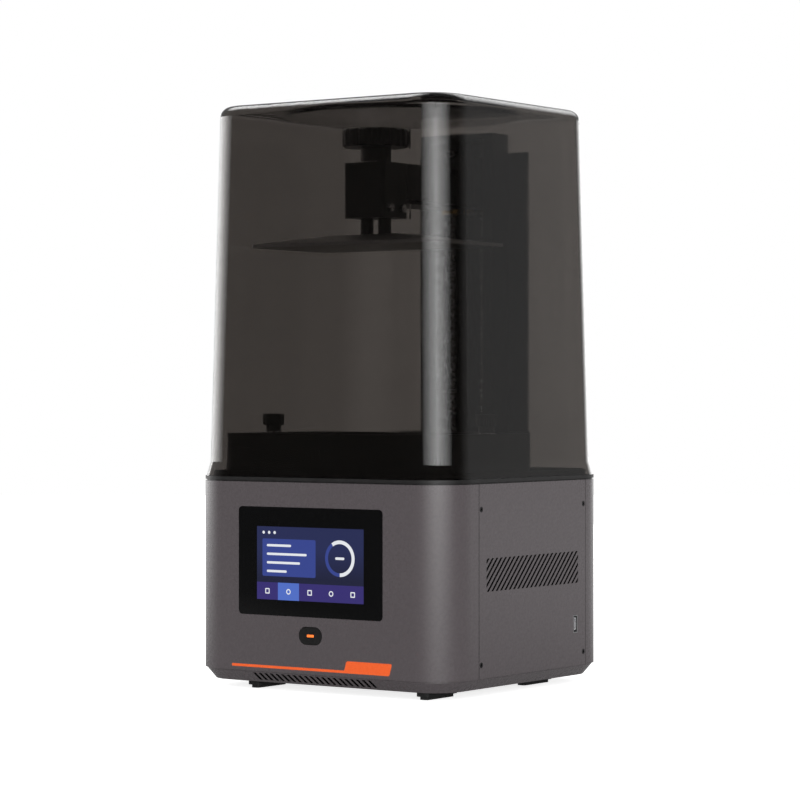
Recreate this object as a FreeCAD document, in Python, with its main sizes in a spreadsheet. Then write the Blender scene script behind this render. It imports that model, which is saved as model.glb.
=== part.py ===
"""Desktop resin printer: grey base, black deck, lift column, vat and smoked cover.

Millimetres, +Z up, front towards -Y. The origin is under the middle of the case, on the
plane that the feet stand on.
"""
import FreeCAD, Part
import os
import re

import Sketcher

doc = FreeCAD.newDocument("resin_printer")

# Driving dimensions in millimetres
SIZES = {
    # Case: the outline that base, deck and cover share
    "body_width": 230,
    "body_depth": 218,
    "body_corner": 31,
    "shell_wall": 3,
    "shell_height": 137.2,
    "seam": 0.3,
    # Rubber feet
    "foot_tread": 2.3,
    "foot_pad": 3.2,
    "foot_width": 11,
    "foot_length": 38,
    "foot_round": 3,
    "tread_inset": 2,
    "foot_right_inset": 29,
    "foot_left_inset": 51,
    "foot_front_inset": 31,
    "foot_rear_inset": 61,
    # Bottom pan
    "pan_height": 8.5,
    "pan_neck": 1.2,
    "pan_step": 1.8,
    "pan_bevel": 6.2,
    "pan_wall": 2,
    "pan_floor": 2,
    "pan_vent_first_x": -53.3,
    "pan_vent_pitch": 5.13,
    "pan_vent_width": 2.6,
    "pan_vent_lean": 3.2,
    "pan_vent_low": 1.6,
    "pan_vent_height": 5.4,
    "pan_vent_count": 21,
    # Side panels, their lapped flanges and their screws
    "front_wrap": 41.1,
    "rear_wrap": 33.9,
    "lap_reach": 9,
    "lap_wall": 2.2,
    "lap_end": 2,
    "screw_inset": 3.1,
    "screw_low": 9.6,
    "screw_high": 119.4,
    "screw_head_radius": 1.9,
    "screw_head": 1.4,
    "screw_radius": 1.1,
    "screw_length": 7,
    "screw_fit": 0.1,
    # Side vents
    "vent_front_inset": 9.6,
    "vent_rear_inset": 10.4,
    "vent_low": 61,
    "vent_height": 23.5,
    "vent_pitch": 5.63,
    "vent_slot": 1.9,
    # Deck plate
    "deck_step": 1,
    "deck_step_inset": 1.2,
    "deck_thick": 2.4,
    "lip_wall": 2,
    "lip_height": 4,
    "boss_radius": 4.5,
    "boss_height": 9,
    # Smoked cover
    "cover_height": 272.4,
    "cover_wall": 3,
    "cover_corner_step": 2,
    "cover_foot_inset": 1.2,
    "cover_skirt": 10.4,
    "cover_waist_inset": 3.3,
    "cover_top_inset": 8.5,
    "cover_edge": 8,
    "dish_room": 26,
    "dish_depth": 4,
    # Touchscreen
    "screen_x": -3.4,
    "screen_rise": 80.1,
    "screen_width": 128.4,
    "screen_height": 78.1,
    "screen_corner": 3,
    "screen_thick": 1.8,
    "screen_fit": 0.2,
    "display_width": 105.5,
    "display_height": 66,
    "display_thick": 5,
    "display_room": 1,
    "board_thick": 1.6,
    # Power button
    "button_x": -2.6,
    "button_rise": 27.6,
    "button_width": 20.1,
    "button_height": 12.4,
    "button_round": 6,
    "button_fit": 0.3,
    "button_rim": 1.5,
    "button_rim_thick": 1.2,
    "button_travel": 1,
    "light_width": 6,
    "light_height": 1.8,
    "light_depth": 1.5,
    "button_post_radius": 2.5,
    "button_post_reach": 17,
    "switch_side": 6,
    "switch_height": 3.5,
    # Exposure screen and the light engine below it
    "exposure_end_room": 2,
    "exposure_side_room": 5,
    "exposure_lap": 5,
    "exposure_thick": 1.6,
    "exposure_glass": 2.4,
    "exposure_fit": 0.3,
    "exposure_round": 2,
    "ledge_thick": 3.4,
    "ledge_width": 6,
    "hood_height": 67.2,
    "hood_wall": 2,
    "hood_flange": 2,
    "hood_foot_width": 92,
    "hood_foot_depth": 72,
    "lamp_margin": 2,
    "lens_radius": 4,
    "lens_height": 4,
    "lens_pitch_x": 16,
    "lens_pitch_y": 15,
    "lens_columns": 5,
    "lens_rows": 4,
    "sink_base": 4,
    "fin_height": 22,
    "fin_thick": 2,
    "fin_pitch": 6.3,
    "fan_side": 60,
    "fan_height": 15,
    "fan_round": 4,
    "fan_wall": 1.5,
    "fan_spider": 2,
    "fan_arm": 4,
    "fan_hub": 15,
    "fan_tip_gap": 1,
    "fan_running_gap": 0.4,
    "blade_count": 7,
    "blade_thick": 1.2,
    "blade_chord": 11,
    # Vat
    "vat_depth": 121,
    "vat_side_room": 15,
    "vat_front_room": 17.5,
    "vat_height": 31.4,
    "vat_corner": 14,
    "vat_end_wall": 14,
    "vat_side_wall": 5.5,
    "basin_corner": 8,
    "film_frame_end_lap": 5,
    "film_frame_side_lap": 3,
    "film_frame_wall": 7,
    "film_frame_thick": 4,
    "film_frame_fit": 0.3,
    "film_thick": 0.2,
    "film_rest": 0.1,
    # Thumb screws of the vat
    "thumb_inset": 5,
    "thumb_radius": 8,
    "thumb_head": 8.7,
    "thumb_neck_radius": 5.75,
    "thumb_neck": 4.3,
    "thumb_screw_radius": 2.5,
    "thumb_engaged": 6.4,
    "thumb_washer_radius": 6.5,
    "washer_thick": 1,
    "thread_gap": 0.3,
    # Lift column
    "column_rear_room": 16,
    "column_depth": 22.5,
    "column_half": 33,
    "column_wall": 3,
    "column_lip": 2.5,
    "column_mouth": 24,
    "column_head_room": 14,
    "cap_thick": 4,
    "cap_boss_radius": 8,
    "cap_boss": 8,
    "back_plate_half": 50,
    "back_plate_thick": 2.5,
    "back_plate_drop": 14,
    "foot_plate_half": 53,
    "foot_plate_reach": 8.5,
    "foot_plate_thick": 4,
    "gusset_inset": 4.5,
    "gusset_height": 31.4,
    # Guide rails and lift screw
    "rail_x": 19,
    "rail_width": 9,
    "rail_height": 6.5,
    "rail_start": 26,
    "rail_end_gap": 6,
    "rail_gap": 0.4,
    "slider_width": 20,
    "slider_stack": 10,
    "slider_lift": 1.5,
    "slider_inset": 2,
    "lead_inset": 6.5,
    "lead_radius": 4,
    "lead_gap": 0.3,
    "lead_top_gap": 3,
    "nut_wall": 0.8,
    "nut_length": 15,
    "nut_flange_radius": 11,
    "nut_flange": 3.5,
    "nut_fit": 0.2,
    "motor_side": 42.3,
    "motor_length": 40,
    "motor_round": 4,
    "motor_boss_radius": 11,
    "motor_boss": 2,
    "motor_boss_fit": 0.3,
    "motor_bore_end": 4,
    # Limit sensor and the flag that enters it
    "flag_x": -26.5,
    "flag_thick": 1.5,
    "flag_drop": 18,
    "flag_inset": 4.5,
    "flag_depth": 4,
    "sensor_width": 6.4,
    "sensor_inset": 3.3,
    "sensor_start": 3,
    "sensor_height": 18,
    "sensor_slot": 2.7,
    "sensor_slot_depth": 7.5,
    # Carriage and arm
    "carriage_drop": 2.5,
    "carriage_height": 39,
    "carriage_gap": 2,
    "carriage_thick": 6,
    "neck_gap": 2,
    "neck_reach": 8.5,
    "arm_half": 16,
    "arm_head_gap": 0.5,
    "drip_gap": 2,
    "drip_thick": 1.5,
    "drip_web_half": 8,
    "tongue_half": 12,
    "tongue_height": 12,
    "tongue_floor": 5.5,
    "tongue_fit": 0.4,
    "tongue_end": 4,
    # Platform
    "plate_end_room": 6,
    "plate_side_room": 9,
    "plate_edge": 2.4,
    "plate_rise": 6.5,
    "plate_ridge_width": 60,
    "plate_ridge_depth": 30,
    "post_x": 8,
    "post_radius": 4.8,
    "post_height": 12.4,
    "level_height": 14.5,
    "head_half_width": 18,
    "head_half_depth": 16,
    "head_height": 26.1,
    "head_round": 3,
    "level_screw_y": 8,
    "level_screw_radius": 3,
    "level_screw_head": 2.5,
    "knob_radius": 24.5,
    "knob_height": 13.1,
    "knob_chamfer": 1.5,
    "knob_flute_radius": 3.5,
    "knob_flute_offset": 2,
    "knob_flutes": 16,
    "stem_radius": 11.3,
    "stem_height": 10.6,
    "knob_screw_radius": 4,
    "knob_screw_depth": 16,
    "knob_screw_fit": 0.05,
    "knob_tip_gap": 0.1,
    "knob_head_room": 10.7,
    # Main board, USB socket and power inlet
    "usb_inset": 14.4,
    "usb_rise": 30.7,
    "usb_width": 5.7,
    "usb_height": 12.9,
    "usb_length": 14,
    "usb_wall": 0.4,
    "usb_tongue": 1.8,
    "usb_gap": 0.2,
    "mainboard_edge": 7,
    "mainboard_width": 80,
    "mainboard_low": 12.5,
    "mainboard_height": 80,
    "standoff": 5,
    "standoff_radius": 3,
    "standoff_inset": 16,
    "bracket_thick": 1.5,
    "bracket_foot": 15,
    "inlet_inset": 55,
    "inlet_rise": 22,
    "inlet_radius": 5.5,
    "inlet_fit": 0.2,
    "inlet_length": 14,
    "inlet_rim_radius": 7.5,
    "inlet_rim": 2,
    "inlet_bore": 2.8,
    "inlet_bore_depth": 9,
    "inlet_pin": 1,
}

# Places worked out from the driving dimensions
PLACES = {
    # Case and base
    "half_width": "body_width / 2",
    "half_depth": "body_depth / 2",
    "pan_bottom": "foot_tread + foot_pad",
    "floor_top": "pan_bottom + pan_floor",
    "shell_bottom": "pan_bottom + pan_height",
    "shell_top": "shell_bottom + shell_height",
    "deck_under": "shell_top + deck_step",
    "deck_top": "deck_under + deck_thick",
    "wall_inside": "half_width - shell_wall",
    "front_inside": "shell_wall - half_depth",
    "rear_inside": "half_depth - shell_wall",
    "foot_right_x": "half_width - foot_right_inset",
    "foot_left_x": "foot_left_inset - half_width",
    "foot_front_y": "foot_front_inset - half_depth",
    "foot_rear_y": "half_depth - foot_rear_inset",
    "panel_front_y": "front_wrap - half_depth",
    "panel_rear_y": "half_depth - rear_wrap",
    "vent_front_y": "panel_front_y + vent_front_inset",
    "vent_rear_y": "panel_rear_y - vent_rear_inset",
    # Cover
    "cover_top": "deck_top + cover_height",
    "roof_under": "cover_top - cover_wall",
    "waist": "deck_top + cover_skirt",
    "cover_corner": "body_corner - cover_corner_step",
    "dish_radius": "min(half_width; half_depth) - dish_room",
    "lip_inset": "cover_waist_inset + cover_wall",
    # Touchscreen and button
    "screen_z": "shell_bottom + screen_rise",
    "glass_back": "screen_thick - half_depth",
    "display_back": "glass_back + display_thick",
    "button_z": "shell_bottom + button_rise",
    "button_rim_front": "front_inside + button_fit",
    "button_back": "button_rim_front + button_rim_thick",
    "button_board_front": "button_back + button_travel + button_fit + switch_height",
    # Vat, from the room that it leaves inside the cover
    "vat_half_width": "half_width - vat_side_room",
    "vat_half_depth": "vat_depth / 2",
    "print_y": "vat_front_room + vat_half_depth - half_depth",
    "vat_top": "deck_top + vat_height",
    "basin_half_width": "vat_half_width - vat_end_wall",
    "basin_half_depth": "vat_half_depth - vat_side_wall",
    "film_frame_half_width": "basin_half_width + film_frame_end_lap",
    "film_frame_half_depth": "basin_half_depth + film_frame_side_lap",
    "film_under": "deck_top + film_rest",
    "film_top": "film_under + film_thick",
    "film_frame_top": "film_top + film_frame_thick",
    "thumb_x": "vat_half_width - thumb_inset",
    "thumb_seat": "vat_top + washer_thick",
    # Light engine, from the basin above it
    "exposure_width": "2 * (basin_half_width - exposure_end_room)",
    "exposure_depth": "2 * (basin_half_depth - exposure_side_room)",
    "window_width": "exposure_width - 2 * exposure_lap",
    "window_depth": "exposure_depth - 2 * exposure_lap",
    "ledge_top": "deck_top - exposure_glass - exposure_thick",
    "ledge_under": "ledge_top - ledge_thick",
    "lamp_top": "ledge_under - hood_height",
    "lamp_under": "lamp_top - board_thick",
    "fin_root": "lamp_under - sink_base",
    "fin_tip": "fin_root - fin_height",
    "fan_bottom": "fin_tip - fan_height",
    "fan_bore": "fan_side / 2 - fan_wall",
    # Lift column, from the rear of the case and the cover's roof
    "column_back": "half_depth - column_rear_room",
    "column_front": "column_back - column_depth",
    "column_inside": "column_back - column_wall",
    "column_top": "cover_top - column_head_room",
    "channel_top": "column_top - cap_thick",
    "back_plate_top": "column_top - back_plate_drop",
    "foot_plate_front": "column_front - foot_plate_reach",
    "foot_plate_top": "deck_top + foot_plate_thick",
    "gusset_front": "column_front + gusset_inset",
    "lead_y": "column_front + lead_inset",
    "nut_radius": "lead_radius + lead_gap + nut_wall",
    "flag_front": "column_front + flag_inset",
    "sensor_front": "column_front + sensor_inset",
    "carriage_half": "column_half - column_wall - carriage_gap",
    "carriage_back": "column_inside - slider_stack",
    "carriage_front": "carriage_back - carriage_thick",
    "neck_half": "column_mouth - neck_gap",
    "neck_front": "column_front - neck_reach",
    # Platform at the top of its travel, from the roof downwards
    "knob_top": "roof_under - dish_depth - knob_head_room",
    "stem_top": "knob_top - knob_height",
    "stem_bottom": "stem_top - stem_height",
    "head_top": "stem_bottom - washer_thick",
    "head_bottom": "head_top - head_height",
    "level_bottom": "head_bottom - level_height",
    "plate_top": "level_bottom - post_height",
    "plate_shoulder": "plate_top - plate_rise",
    "plate_bottom": "plate_shoulder - plate_edge",
    "plate_width": "2 * (basin_half_width - plate_end_room)",
    "plate_depth": "2 * (basin_half_depth - plate_side_room)",
    "knob_flute_reach": "knob_radius + knob_flute_offset",
    "tongue_under": "head_bottom + tongue_floor",
    "tongue_top": "tongue_under + tongue_height",
    "carriage_bottom": "head_bottom - carriage_drop",
    "carriage_top": "carriage_bottom + carriage_height",
    "head_front": "print_y - head_half_depth",
    "head_rear": "print_y + head_half_depth",
    "arm_front": "head_rear + arm_head_gap",
    # Electronics, from the panel that the USB socket shows in
    "usb_y": "panel_rear_y - usb_inset",
    "usb_z": "shell_bottom + usb_rise",
    "mainboard_front": "usb_y + usb_width / 2",
    "mainboard_back": "mainboard_front + board_thick",
    "mainboard_right": "half_width - mainboard_edge",
    "mainboard_left": "mainboard_right - mainboard_width",
    "mainboard_bottom": "floor_top + mainboard_low",
    "mainboard_top": "mainboard_bottom + mainboard_height",
    "bracket_front": "mainboard_back + standoff",
    "bracket_back": "bracket_front + bracket_thick",
    "inlet_x": "half_width - inlet_inset",
    "inlet_z": "shell_bottom + inlet_rise",
}

SHEET_WORD = re.compile(r"[a-z][a-z_]+")


def fill_sheet(name, cells):
    """A sheet with one named cell in each row."""
    sheet = doc.addObject("Spreadsheet::Sheet", name)
    for row, (alias, content) in enumerate(cells.items(), start=1):
        sheet.set(f"A{row}", alias)
        sheet.set(f"B{row}", content)
        sheet.setAlias(f"B{row}", alias)
    return sheet


def full(text):
    """An expression with each named size written with its sheet."""

    def with_sheet(match):
        word = match.group(0)
        if word in SIZES:
            return f"size.{word}"
        return f"place.{word}" if word in PLACES else word

    return SHEET_WORD.sub(with_sheet, str(text))


def place_formula(text):
    """A cell of the places sheet, where only the driving sizes need their sheet's name."""
    return "=" + full(text).replace("place.", "")


size = fill_sheet("size", {name: str(value) for name, value in SIZES.items()})
place = fill_sheet("place", {name: place_formula(text) for name, text in PLACES.items()})
doc.recompute()

NODES = []


def number(text):
    """The present value of an expression."""
    return float(size.evalExpression(full(text)))


def bind(piece, setting, text):
    piece.setExpression(setting, full(text))


def node(label, piece):
    """Names a finished sub-part, which gets a file of its own."""
    piece.Label = label
    NODES.append(piece)
    return piece


def block(x, y, z):
    """A box between a low and a high bound along each axis."""
    box = doc.addObject("Part::Box", "block")
    for side, axis, (low, high) in zip(("Length", "Width", "Height"), "xyz", (x, y, z)):
        bind(box, side, f"({high}) - ({low})")
        bind(box, f"Placement.Base.{axis}", low)
    return box


ROD_TURNS = {
    "x": FreeCAD.Rotation(FreeCAD.Vector(0, 1, 0), 90),
    "y": FreeCAD.Rotation(FreeCAD.Vector(1, 0, 0), -90),
    "z": FreeCAD.Rotation(),
}


def rod(axis, across, radius, low, high):
    """A cylinder along an axis; across holds its other two coordinates, in x, y, z order."""
    cylinder = doc.addObject("Part::Cylinder", "rod")
    cylinder.Placement = FreeCAD.Placement(FreeCAD.Vector(), ROD_TURNS[axis])
    bind(cylinder, "Radius", radius)
    bind(cylinder, "Height", f"({high}) - ({low})")
    others = iter(across)
    for name in "xyz":
        bind(cylinder, f"Placement.Base.{name}", low if name == axis else next(others))
    return cylinder


def fuse(*pieces):
    joined = doc.addObject("Part::MultiFuse", "joined")
    joined.Shapes = list(pieces)
    return joined


def group(*pieces):
    """Separate solids that share a node."""
    together = doc.addObject("Part::Compound", "together")
    together.Links = list(pieces)
    return together


def cut(base, *tools):
    opened = doc.addObject("Part::Cut", "opened")
    opened.Base = base
    opened.Tool = tools[0] if len(tools) == 1 else fuse(*tools)
    return opened


def overlap(first, second):
    kept = doc.addObject("Part::Common", "kept")
    kept.Base = first
    kept.Tool = second
    return kept


def new_body():
    return doc.addObject("PartDesign::Body", "body")


PLANE_ROLES = {"xy": "XY_Plane", "xz": "XZ_Plane", "yz": "YZ_Plane"}


def sketch(body, plane, start):
    """A sketch parallel to one of the body's own planes, start away from it."""
    outline = body.newObject("Sketcher::SketchObject", "outline")
    role = PLANE_ROLES[plane]
    support = next(part for part in body.Origin.OriginFeatures if part.Role == role)
    outline.AttachmentSupport = (support, [""])
    outline.MapMode = "FlatFace"
    bind(outline, "AttachmentOffset.Base.z", f"-({start})" if plane == "xz" else start)
    return outline


def faces_back(outline):
    """Whether the sketch's normal points along -Y, as it does on the XZ plane."""
    return outline.AttachmentSupport[0][0].Role == "XZ_Plane"


def pin_point(outline, line, end, x, y):
    """Fixes a point of the sketch at two expressions."""
    for kind, axis, text in (("DistanceX", -2, x), ("DistanceY", -1, y)):
        if text == "0":
            outline.addConstraint(Sketcher.Constraint("PointOnObject", line, end, axis))
            continue
        rule = Sketcher.Constraint(kind, -1, 1, line, end, number(text))
        bind(outline, f"Constraints[{outline.addConstraint(rule)}]", text)


def polygon(outline, corners):
    """A closed outline of straight lines through the corners, each a pair of expressions."""
    first = outline.GeometryCount
    count = len(corners)
    spots = [FreeCAD.Vector(number(x), number(y), 0) for x, y in corners]
    for index in range(count):
        outline.addGeometry(Part.LineSegment(spots[index], spots[(index + 1) % count]), False)
    for index in range(count):
        after = first + (index + 1) % count
        outline.addConstraint(Sketcher.Constraint("Coincident", first + index, 2, after, 1))
        pin_point(outline, first + index, 1, *corners[index])


def rectangle(outline, x, y, corner):
    """A rectangle with round corners between a low and a high bound along each axis."""
    (left, right), (low, high) = [[number(bound) for bound in pair] for pair in (x, y)]
    radius = number(corner)
    first = outline.GeometryCount
    centres = [
        (right - radius, low + radius),
        (right - radius, high - radius),
        (left + radius, high - radius),
        (left + radius, low + radius),
    ]
    lines = [
        ((left + radius, low), (right - radius, low)),
        ((right, low + radius), (right, high - radius)),
        ((right - radius, high), (left + radius, high)),
        ((left, high - radius), (left, low + radius)),
    ]
    quarter = FreeCAD.Units.Quantity("90 deg").getValueAs("rad").Value
    for index in range(4):
        start, end = [FreeCAD.Vector(*spot, 0) for spot in lines[index]]
        outline.addGeometry(Part.LineSegment(start, end), False)
        circle = Part.Circle(FreeCAD.Vector(*centres[index], 0), FreeCAD.Vector(0, 0, 1), radius)
        arc = Part.ArcOfCircle(circle, (index - 1) * quarter, index * quarter)
        outline.addGeometry(arc, False)
    for index in range(4):
        line = first + 2 * index
        after = first + (2 * index + 2) % 8
        outline.addConstraint(Sketcher.Constraint("Tangent", line, 2, line + 1, 1))
        outline.addConstraint(Sketcher.Constraint("Tangent", line + 1, 2, after, 1))
        level = "Vertical" if index % 2 else "Horizontal"
        outline.addConstraint(Sketcher.Constraint(level, line))
        if index:
            outline.addConstraint(Sketcher.Constraint("Equal", first + 1, line + 1))
    rule = outline.addConstraint(Sketcher.Constraint("Radius", first + 1, radius))
    bind(outline, f"Constraints[{rule}]", corner)
    sides = (y[0], x[1], y[1], x[0])
    for index, text in enumerate(sides):
        kind = "DistanceX" if index % 2 else "DistanceY"
        line = 2 * index
        rule = Sketcher.Constraint(kind, -1, 1, first + line, 1, number(text))
        bind(outline, f"Constraints[{outline.addConstraint(rule)}]", text)


def circle(outline, x, y, radius):
    line = outline.addGeometry(
        Part.Circle(FreeCAD.Vector(number(x), number(y), 0), FreeCAD.Vector(0, 0, 1), number(radius)),
        False,
    )
    pin_point(outline, line, 3, x, y)
    rule = outline.addConstraint(Sketcher.Constraint("Radius", line, number(radius)))
    bind(outline, f"Constraints[{rule}]", radius)


def pad(body, outline, length):
    """Material from the sketch towards the positive axis."""
    feature = body.newObject("PartDesign::Pad", "pad")
    feature.Profile = outline
    feature.Reversed = faces_back(outline)
    bind(feature, "Length", length)
    return feature


def pocket(body, outline, length):
    """A cut from the sketch towards the positive axis."""
    feature = body.newObject("PartDesign::Pocket", "pocket")
    feature.Profile = outline
    feature.Reversed = not faces_back(outline)
    bind(feature, "Length", length)
    return feature


def loft(body, kind, first, second):
    """Straight-sided material or cut between two sketches."""
    feature = body.newObject(f"PartDesign::{kind}Loft", "loft")
    feature.Profile = first
    feature.Sections = [(second, [""])]
    feature.Ruled = True
    return feature


def rounded(body, plane, start, x, y, corner):
    """A sketch that holds one rounded rectangle."""
    outline = sketch(body, plane, start)
    rectangle(outline, x, y, corner)
    return outline


def plate(plane, low, high, x, y, corner):
    """A flat plate with round corners between two heights of a plane."""
    body = new_body()
    pad(body, rounded(body, plane, low, x, y, corner), f"({high}) - ({low})")
    return body


def about(centre, half):
    """A pair of bounds about a centre."""
    return (f"({centre}) - ({half})", f"({centre}) + ({half})")


def inset(amount):
    """The case outline's bounds, moved inwards."""
    return about("0", f"half_width - ({amount})"), about("0", f"half_depth - ({amount})")


def case_outline(body, start, amount, corner=None):
    """The case outline moved inwards, on a level sketch."""
    x, y = inset(amount)
    return rounded(body, "xy", start, x, y, corner or f"body_corner - ({amount})")


def turned(x, y, profile):
    """A piece turned about an upright axis; the profile's corners are radius and height."""
    body = new_body()
    outline = sketch(body, "xz", "0")
    polygon(outline, profile)
    feature = body.newObject("PartDesign::Revolution", "turning")
    feature.Profile = outline
    feature.ReferenceAxis = (outline, ["V_Axis"])
    feature.Angle = 360
    bind(body, "Placement.Base.x", x)
    bind(body, "Placement.Base.y", y)
    return body


def ring(x, y, outer, inner, low, high):
    """A turned ring with a plain bore."""
    return turned(x, y, [(inner, low), (outer, low), (outer, high), (inner, high)])


def round_edges(body, chosen, radius):
    """Rounds the edges of the body so far that a test picks."""
    doc.recompute()
    base = body.Tip
    names = [f"Edge{index}" for index, edge in enumerate(base.Shape.Edges, 1) if chosen(edge)]
    feature = body.newObject("PartDesign::Fillet", "rounding")
    feature.Base = (base, names)
    bind(feature, "Radius", radius)
    return feature


def lies_at(height):
    """A test for edges that lie flat at a height."""

    def test(edge):
        box = edge.BoundBox
        return max(abs(box.ZMin - height), abs(box.ZMax - height)) < 0.01

    return test


# Rubber feet: a pad under the pan with a narrower tread below it
def foot(x, y):
    pad_block = plate(
        "xy",
        "foot_tread",
        "pan_bottom",
        about(x, "foot_width / 2"),
        about(y, "foot_length / 2"),
        "foot_round",
    )
    tread_block = plate(
        "xy",
        "0",
        "foot_tread",
        about(x, "foot_width / 2 - tread_inset"),
        about(y, "foot_length / 2 - tread_inset"),
        "foot_round - tread_inset / 2",
    )
    return fuse(pad_block, tread_block)


FOOT_SPOTS = [(x, y) for x in ("foot_right_x", "foot_left_x") for y in ("foot_front_y", "foot_rear_y")]
node("rubber_feet", group(*[foot(x, y) for x, y in FOOT_SPOTS]))

# Bottom pan: a shallow tray with a bevelled rim, slanted vent slots in the front bevel
pan = new_body()
pan_edge = "pan_step + pan_bevel"
neck_bottom = "shell_bottom - pan_neck"
loft(pan, "Additive", case_outline(pan, "pan_bottom", pan_edge), case_outline(pan, neck_bottom, "pan_step"))
pad(pan, case_outline(pan, neck_bottom, "pan_step"), "pan_neck")
pocket(pan, case_outline(pan, "floor_top", f"{pan_edge} + pan_wall"), "pan_height - pan_floor")
slot_outline = sketch(pan, "xz", "-half_depth")
slot_low = "pan_bottom + pan_vent_low"
slot_high = f"{slot_low} + pan_vent_height"
polygon(
    slot_outline,
    [
        ("pan_vent_first_x", slot_low),
        ("pan_vent_first_x + pan_vent_width", slot_low),
        ("pan_vent_first_x + pan_vent_width - pan_vent_lean", slot_high),
        ("pan_vent_first_x - pan_vent_lean", slot_high),
    ],
)
vent_slot = pocket(pan, slot_outline, f"{pan_edge} + pan_wall + pan_floor")
vent_row = pan.newObject("PartDesign::LinearPattern", "vent_row")
vent_row.Originals = [vent_slot]
vent_row.Direction = (slot_outline, ["H_Axis"])
bind(vent_row, "Length", "pan_vent_pitch * (pan_vent_count - 1)")
bind(vent_row, "Occurrences", "pan_vent_count")
pan.Tip = vent_row
node("bottom_pan", pan)

# Case wall: the ring that the front and rear shells are cut from
case_ring = new_body()
ring_outline = case_outline(case_ring, "shell_bottom", "0")
ring_x, ring_y = inset("shell_wall")
rectangle(ring_outline, ring_x, ring_y, "body_corner - shell_wall")
pad(case_ring, ring_outline, "shell_height")

SIDES = ((1, "half_width", "wall_inside"), (-1, "-half_width", "-wall_inside"))
SCREW_HEIGHTS = ("shell_bottom + screw_low", "shell_bottom + screw_high")
SCREW_ROWS = ("panel_front_y + screw_inset", "panel_rear_y - screw_inset")


def ordered(first, second, side):
    """A low and a high bound, whichever side of the case they are on."""
    return (first, second) if side > 0 else (second, first)


def lap(side, wall, y):
    """A flange inside the case wall that the side panel is screwed to."""
    inner = f"{wall} - {side} * lap_wall"
    return block(ordered(inner, wall, side), y, ("shell_bottom + lap_end", "shell_top - lap_end"))


def screw_holes(row):
    """Plain holes along X for the panel screws of one row, through both walls."""
    radius = "screw_radius + screw_fit"
    return [rod("x", (row, height), radius, "-half_width", "half_width") for height in SCREW_HEIGHTS]


def button_post(reach):
    """A post inside the front wall that carries the button's board."""
    across = (f"button_x + {reach}", "button_z")
    return rod("y", across, "button_post_radius", "front_inside", "button_board_front")


# Front shell: wraps both front corners, with the screen's recess and the button's hole
front_wall = overlap(
    case_ring,
    block(
        ("-half_width", "half_width"),
        ("-half_depth", "panel_front_y - seam / 2"),
        ("shell_bottom", "shell_top"),
    ),
)
front_laps = [lap(side, wall, about("panel_front_y", "lap_reach")) for side, face, wall in SIDES]
button_posts = [button_post(reach) for reach in ("button_post_reach", "-button_post_reach")]
screen_recess = plate(
    "xz",
    "-half_depth",
    "glass_back",
    about("screen_x", "screen_width / 2 + screen_fit"),
    about("screen_z", "screen_height / 2 + screen_fit"),
    "screen_corner + screen_fit",
)
display_window = block(
    about("screen_x", "display_width / 2 + display_room"),
    ("-half_depth", "front_inside"),
    about("screen_z", "display_height / 2 + display_room"),
)
button_hole = plate(
    "xz",
    "-half_depth",
    "front_inside",
    about("button_x", "button_width / 2 + button_fit"),
    about("button_z", "button_height / 2 + button_fit"),
    "button_round + button_fit",
)
front_solid = fuse(front_wall, *front_laps, *button_posts)
front_openings = [screen_recess, display_window, button_hole]
node("front_shell", cut(front_solid, *front_openings, *screw_holes(SCREW_ROWS[0])))

# Rear shell: the back wall and both rear corners, with the power inlet's hole
rear_wall = overlap(
    case_ring,
    block(
        ("-half_width", "half_width"),
        ("panel_rear_y + seam / 2", "half_depth"),
        ("shell_bottom", "shell_top"),
    ),
)
rear_laps = [lap(side, wall, about("panel_rear_y", "lap_reach")) for side, face, wall in SIDES]
inlet_spot = ("inlet_x", "inlet_z")
inlet_hole = rod("y", inlet_spot, "inlet_radius + inlet_fit", "rear_inside", "half_depth")
node("rear_shell", cut(fuse(rear_wall, *rear_laps), inlet_hole, *screw_holes(SCREW_ROWS[1])))


# Side panels: flat sheets with a row of slots that lean at 45 degrees
def side_panel(side, face, wall):
    x = ordered(wall, face, side)
    sheet = block(
        x,
        ("panel_front_y + seam / 2", "panel_rear_y - seam / 2"),
        ("shell_bottom", "shell_top"),
    )
    slots = []
    slot_count = int(number("(vent_rear_y - vent_front_y + vent_height) / vent_pitch"))
    for index in range(slot_count):
        slot_body = new_body()
        outline = sketch(slot_body, "yz", x[0])
        foot_y = f"vent_front_y - vent_height + {index + 0.5} * vent_pitch"
        half_slot = "vent_slot / sqrt(2)"
        low = "shell_bottom + vent_low"
        polygon(
            outline,
            [
                (f"{foot_y} - {half_slot}", low),
                (f"{foot_y} + {half_slot}", low),
                (f"{foot_y} + vent_height + {half_slot}", f"{low} + vent_height"),
                (f"{foot_y} + vent_height - {half_slot}", f"{low} + vent_height"),
            ],
        )
        pad(slot_body, outline, "shell_wall")
        slots.append(slot_body)
    vent_field = block(
        x,
        ("vent_front_y", "vent_rear_y"),
        ("shell_bottom + vent_low", "shell_bottom + vent_low + vent_height"),
    )
    openings = [overlap(group(*slots), vent_field)]
    for row in SCREW_ROWS:
        openings += screw_holes(row)
        for height in SCREW_HEIGHTS:
            head = ordered(f"{face} - {side} * (screw_head + screw_fit)", face, side)
            openings.append(rod("x", (row, height), "screw_head_radius + screw_fit", *head))
    return sheet, openings


usb_opening = block(
    ("wall_inside", "half_width"),
    about("usb_y", "usb_width / 2 + usb_gap"),
    about("usb_z", "usb_height / 2 + usb_gap"),
)
right_sheet, right_openings = side_panel(*SIDES[0])
left_sheet, left_openings = side_panel(*SIDES[1])
node("right_side_panel", cut(right_sheet, usb_opening, *right_openings))
node("left_side_panel", cut(left_sheet, *left_openings))


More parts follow.
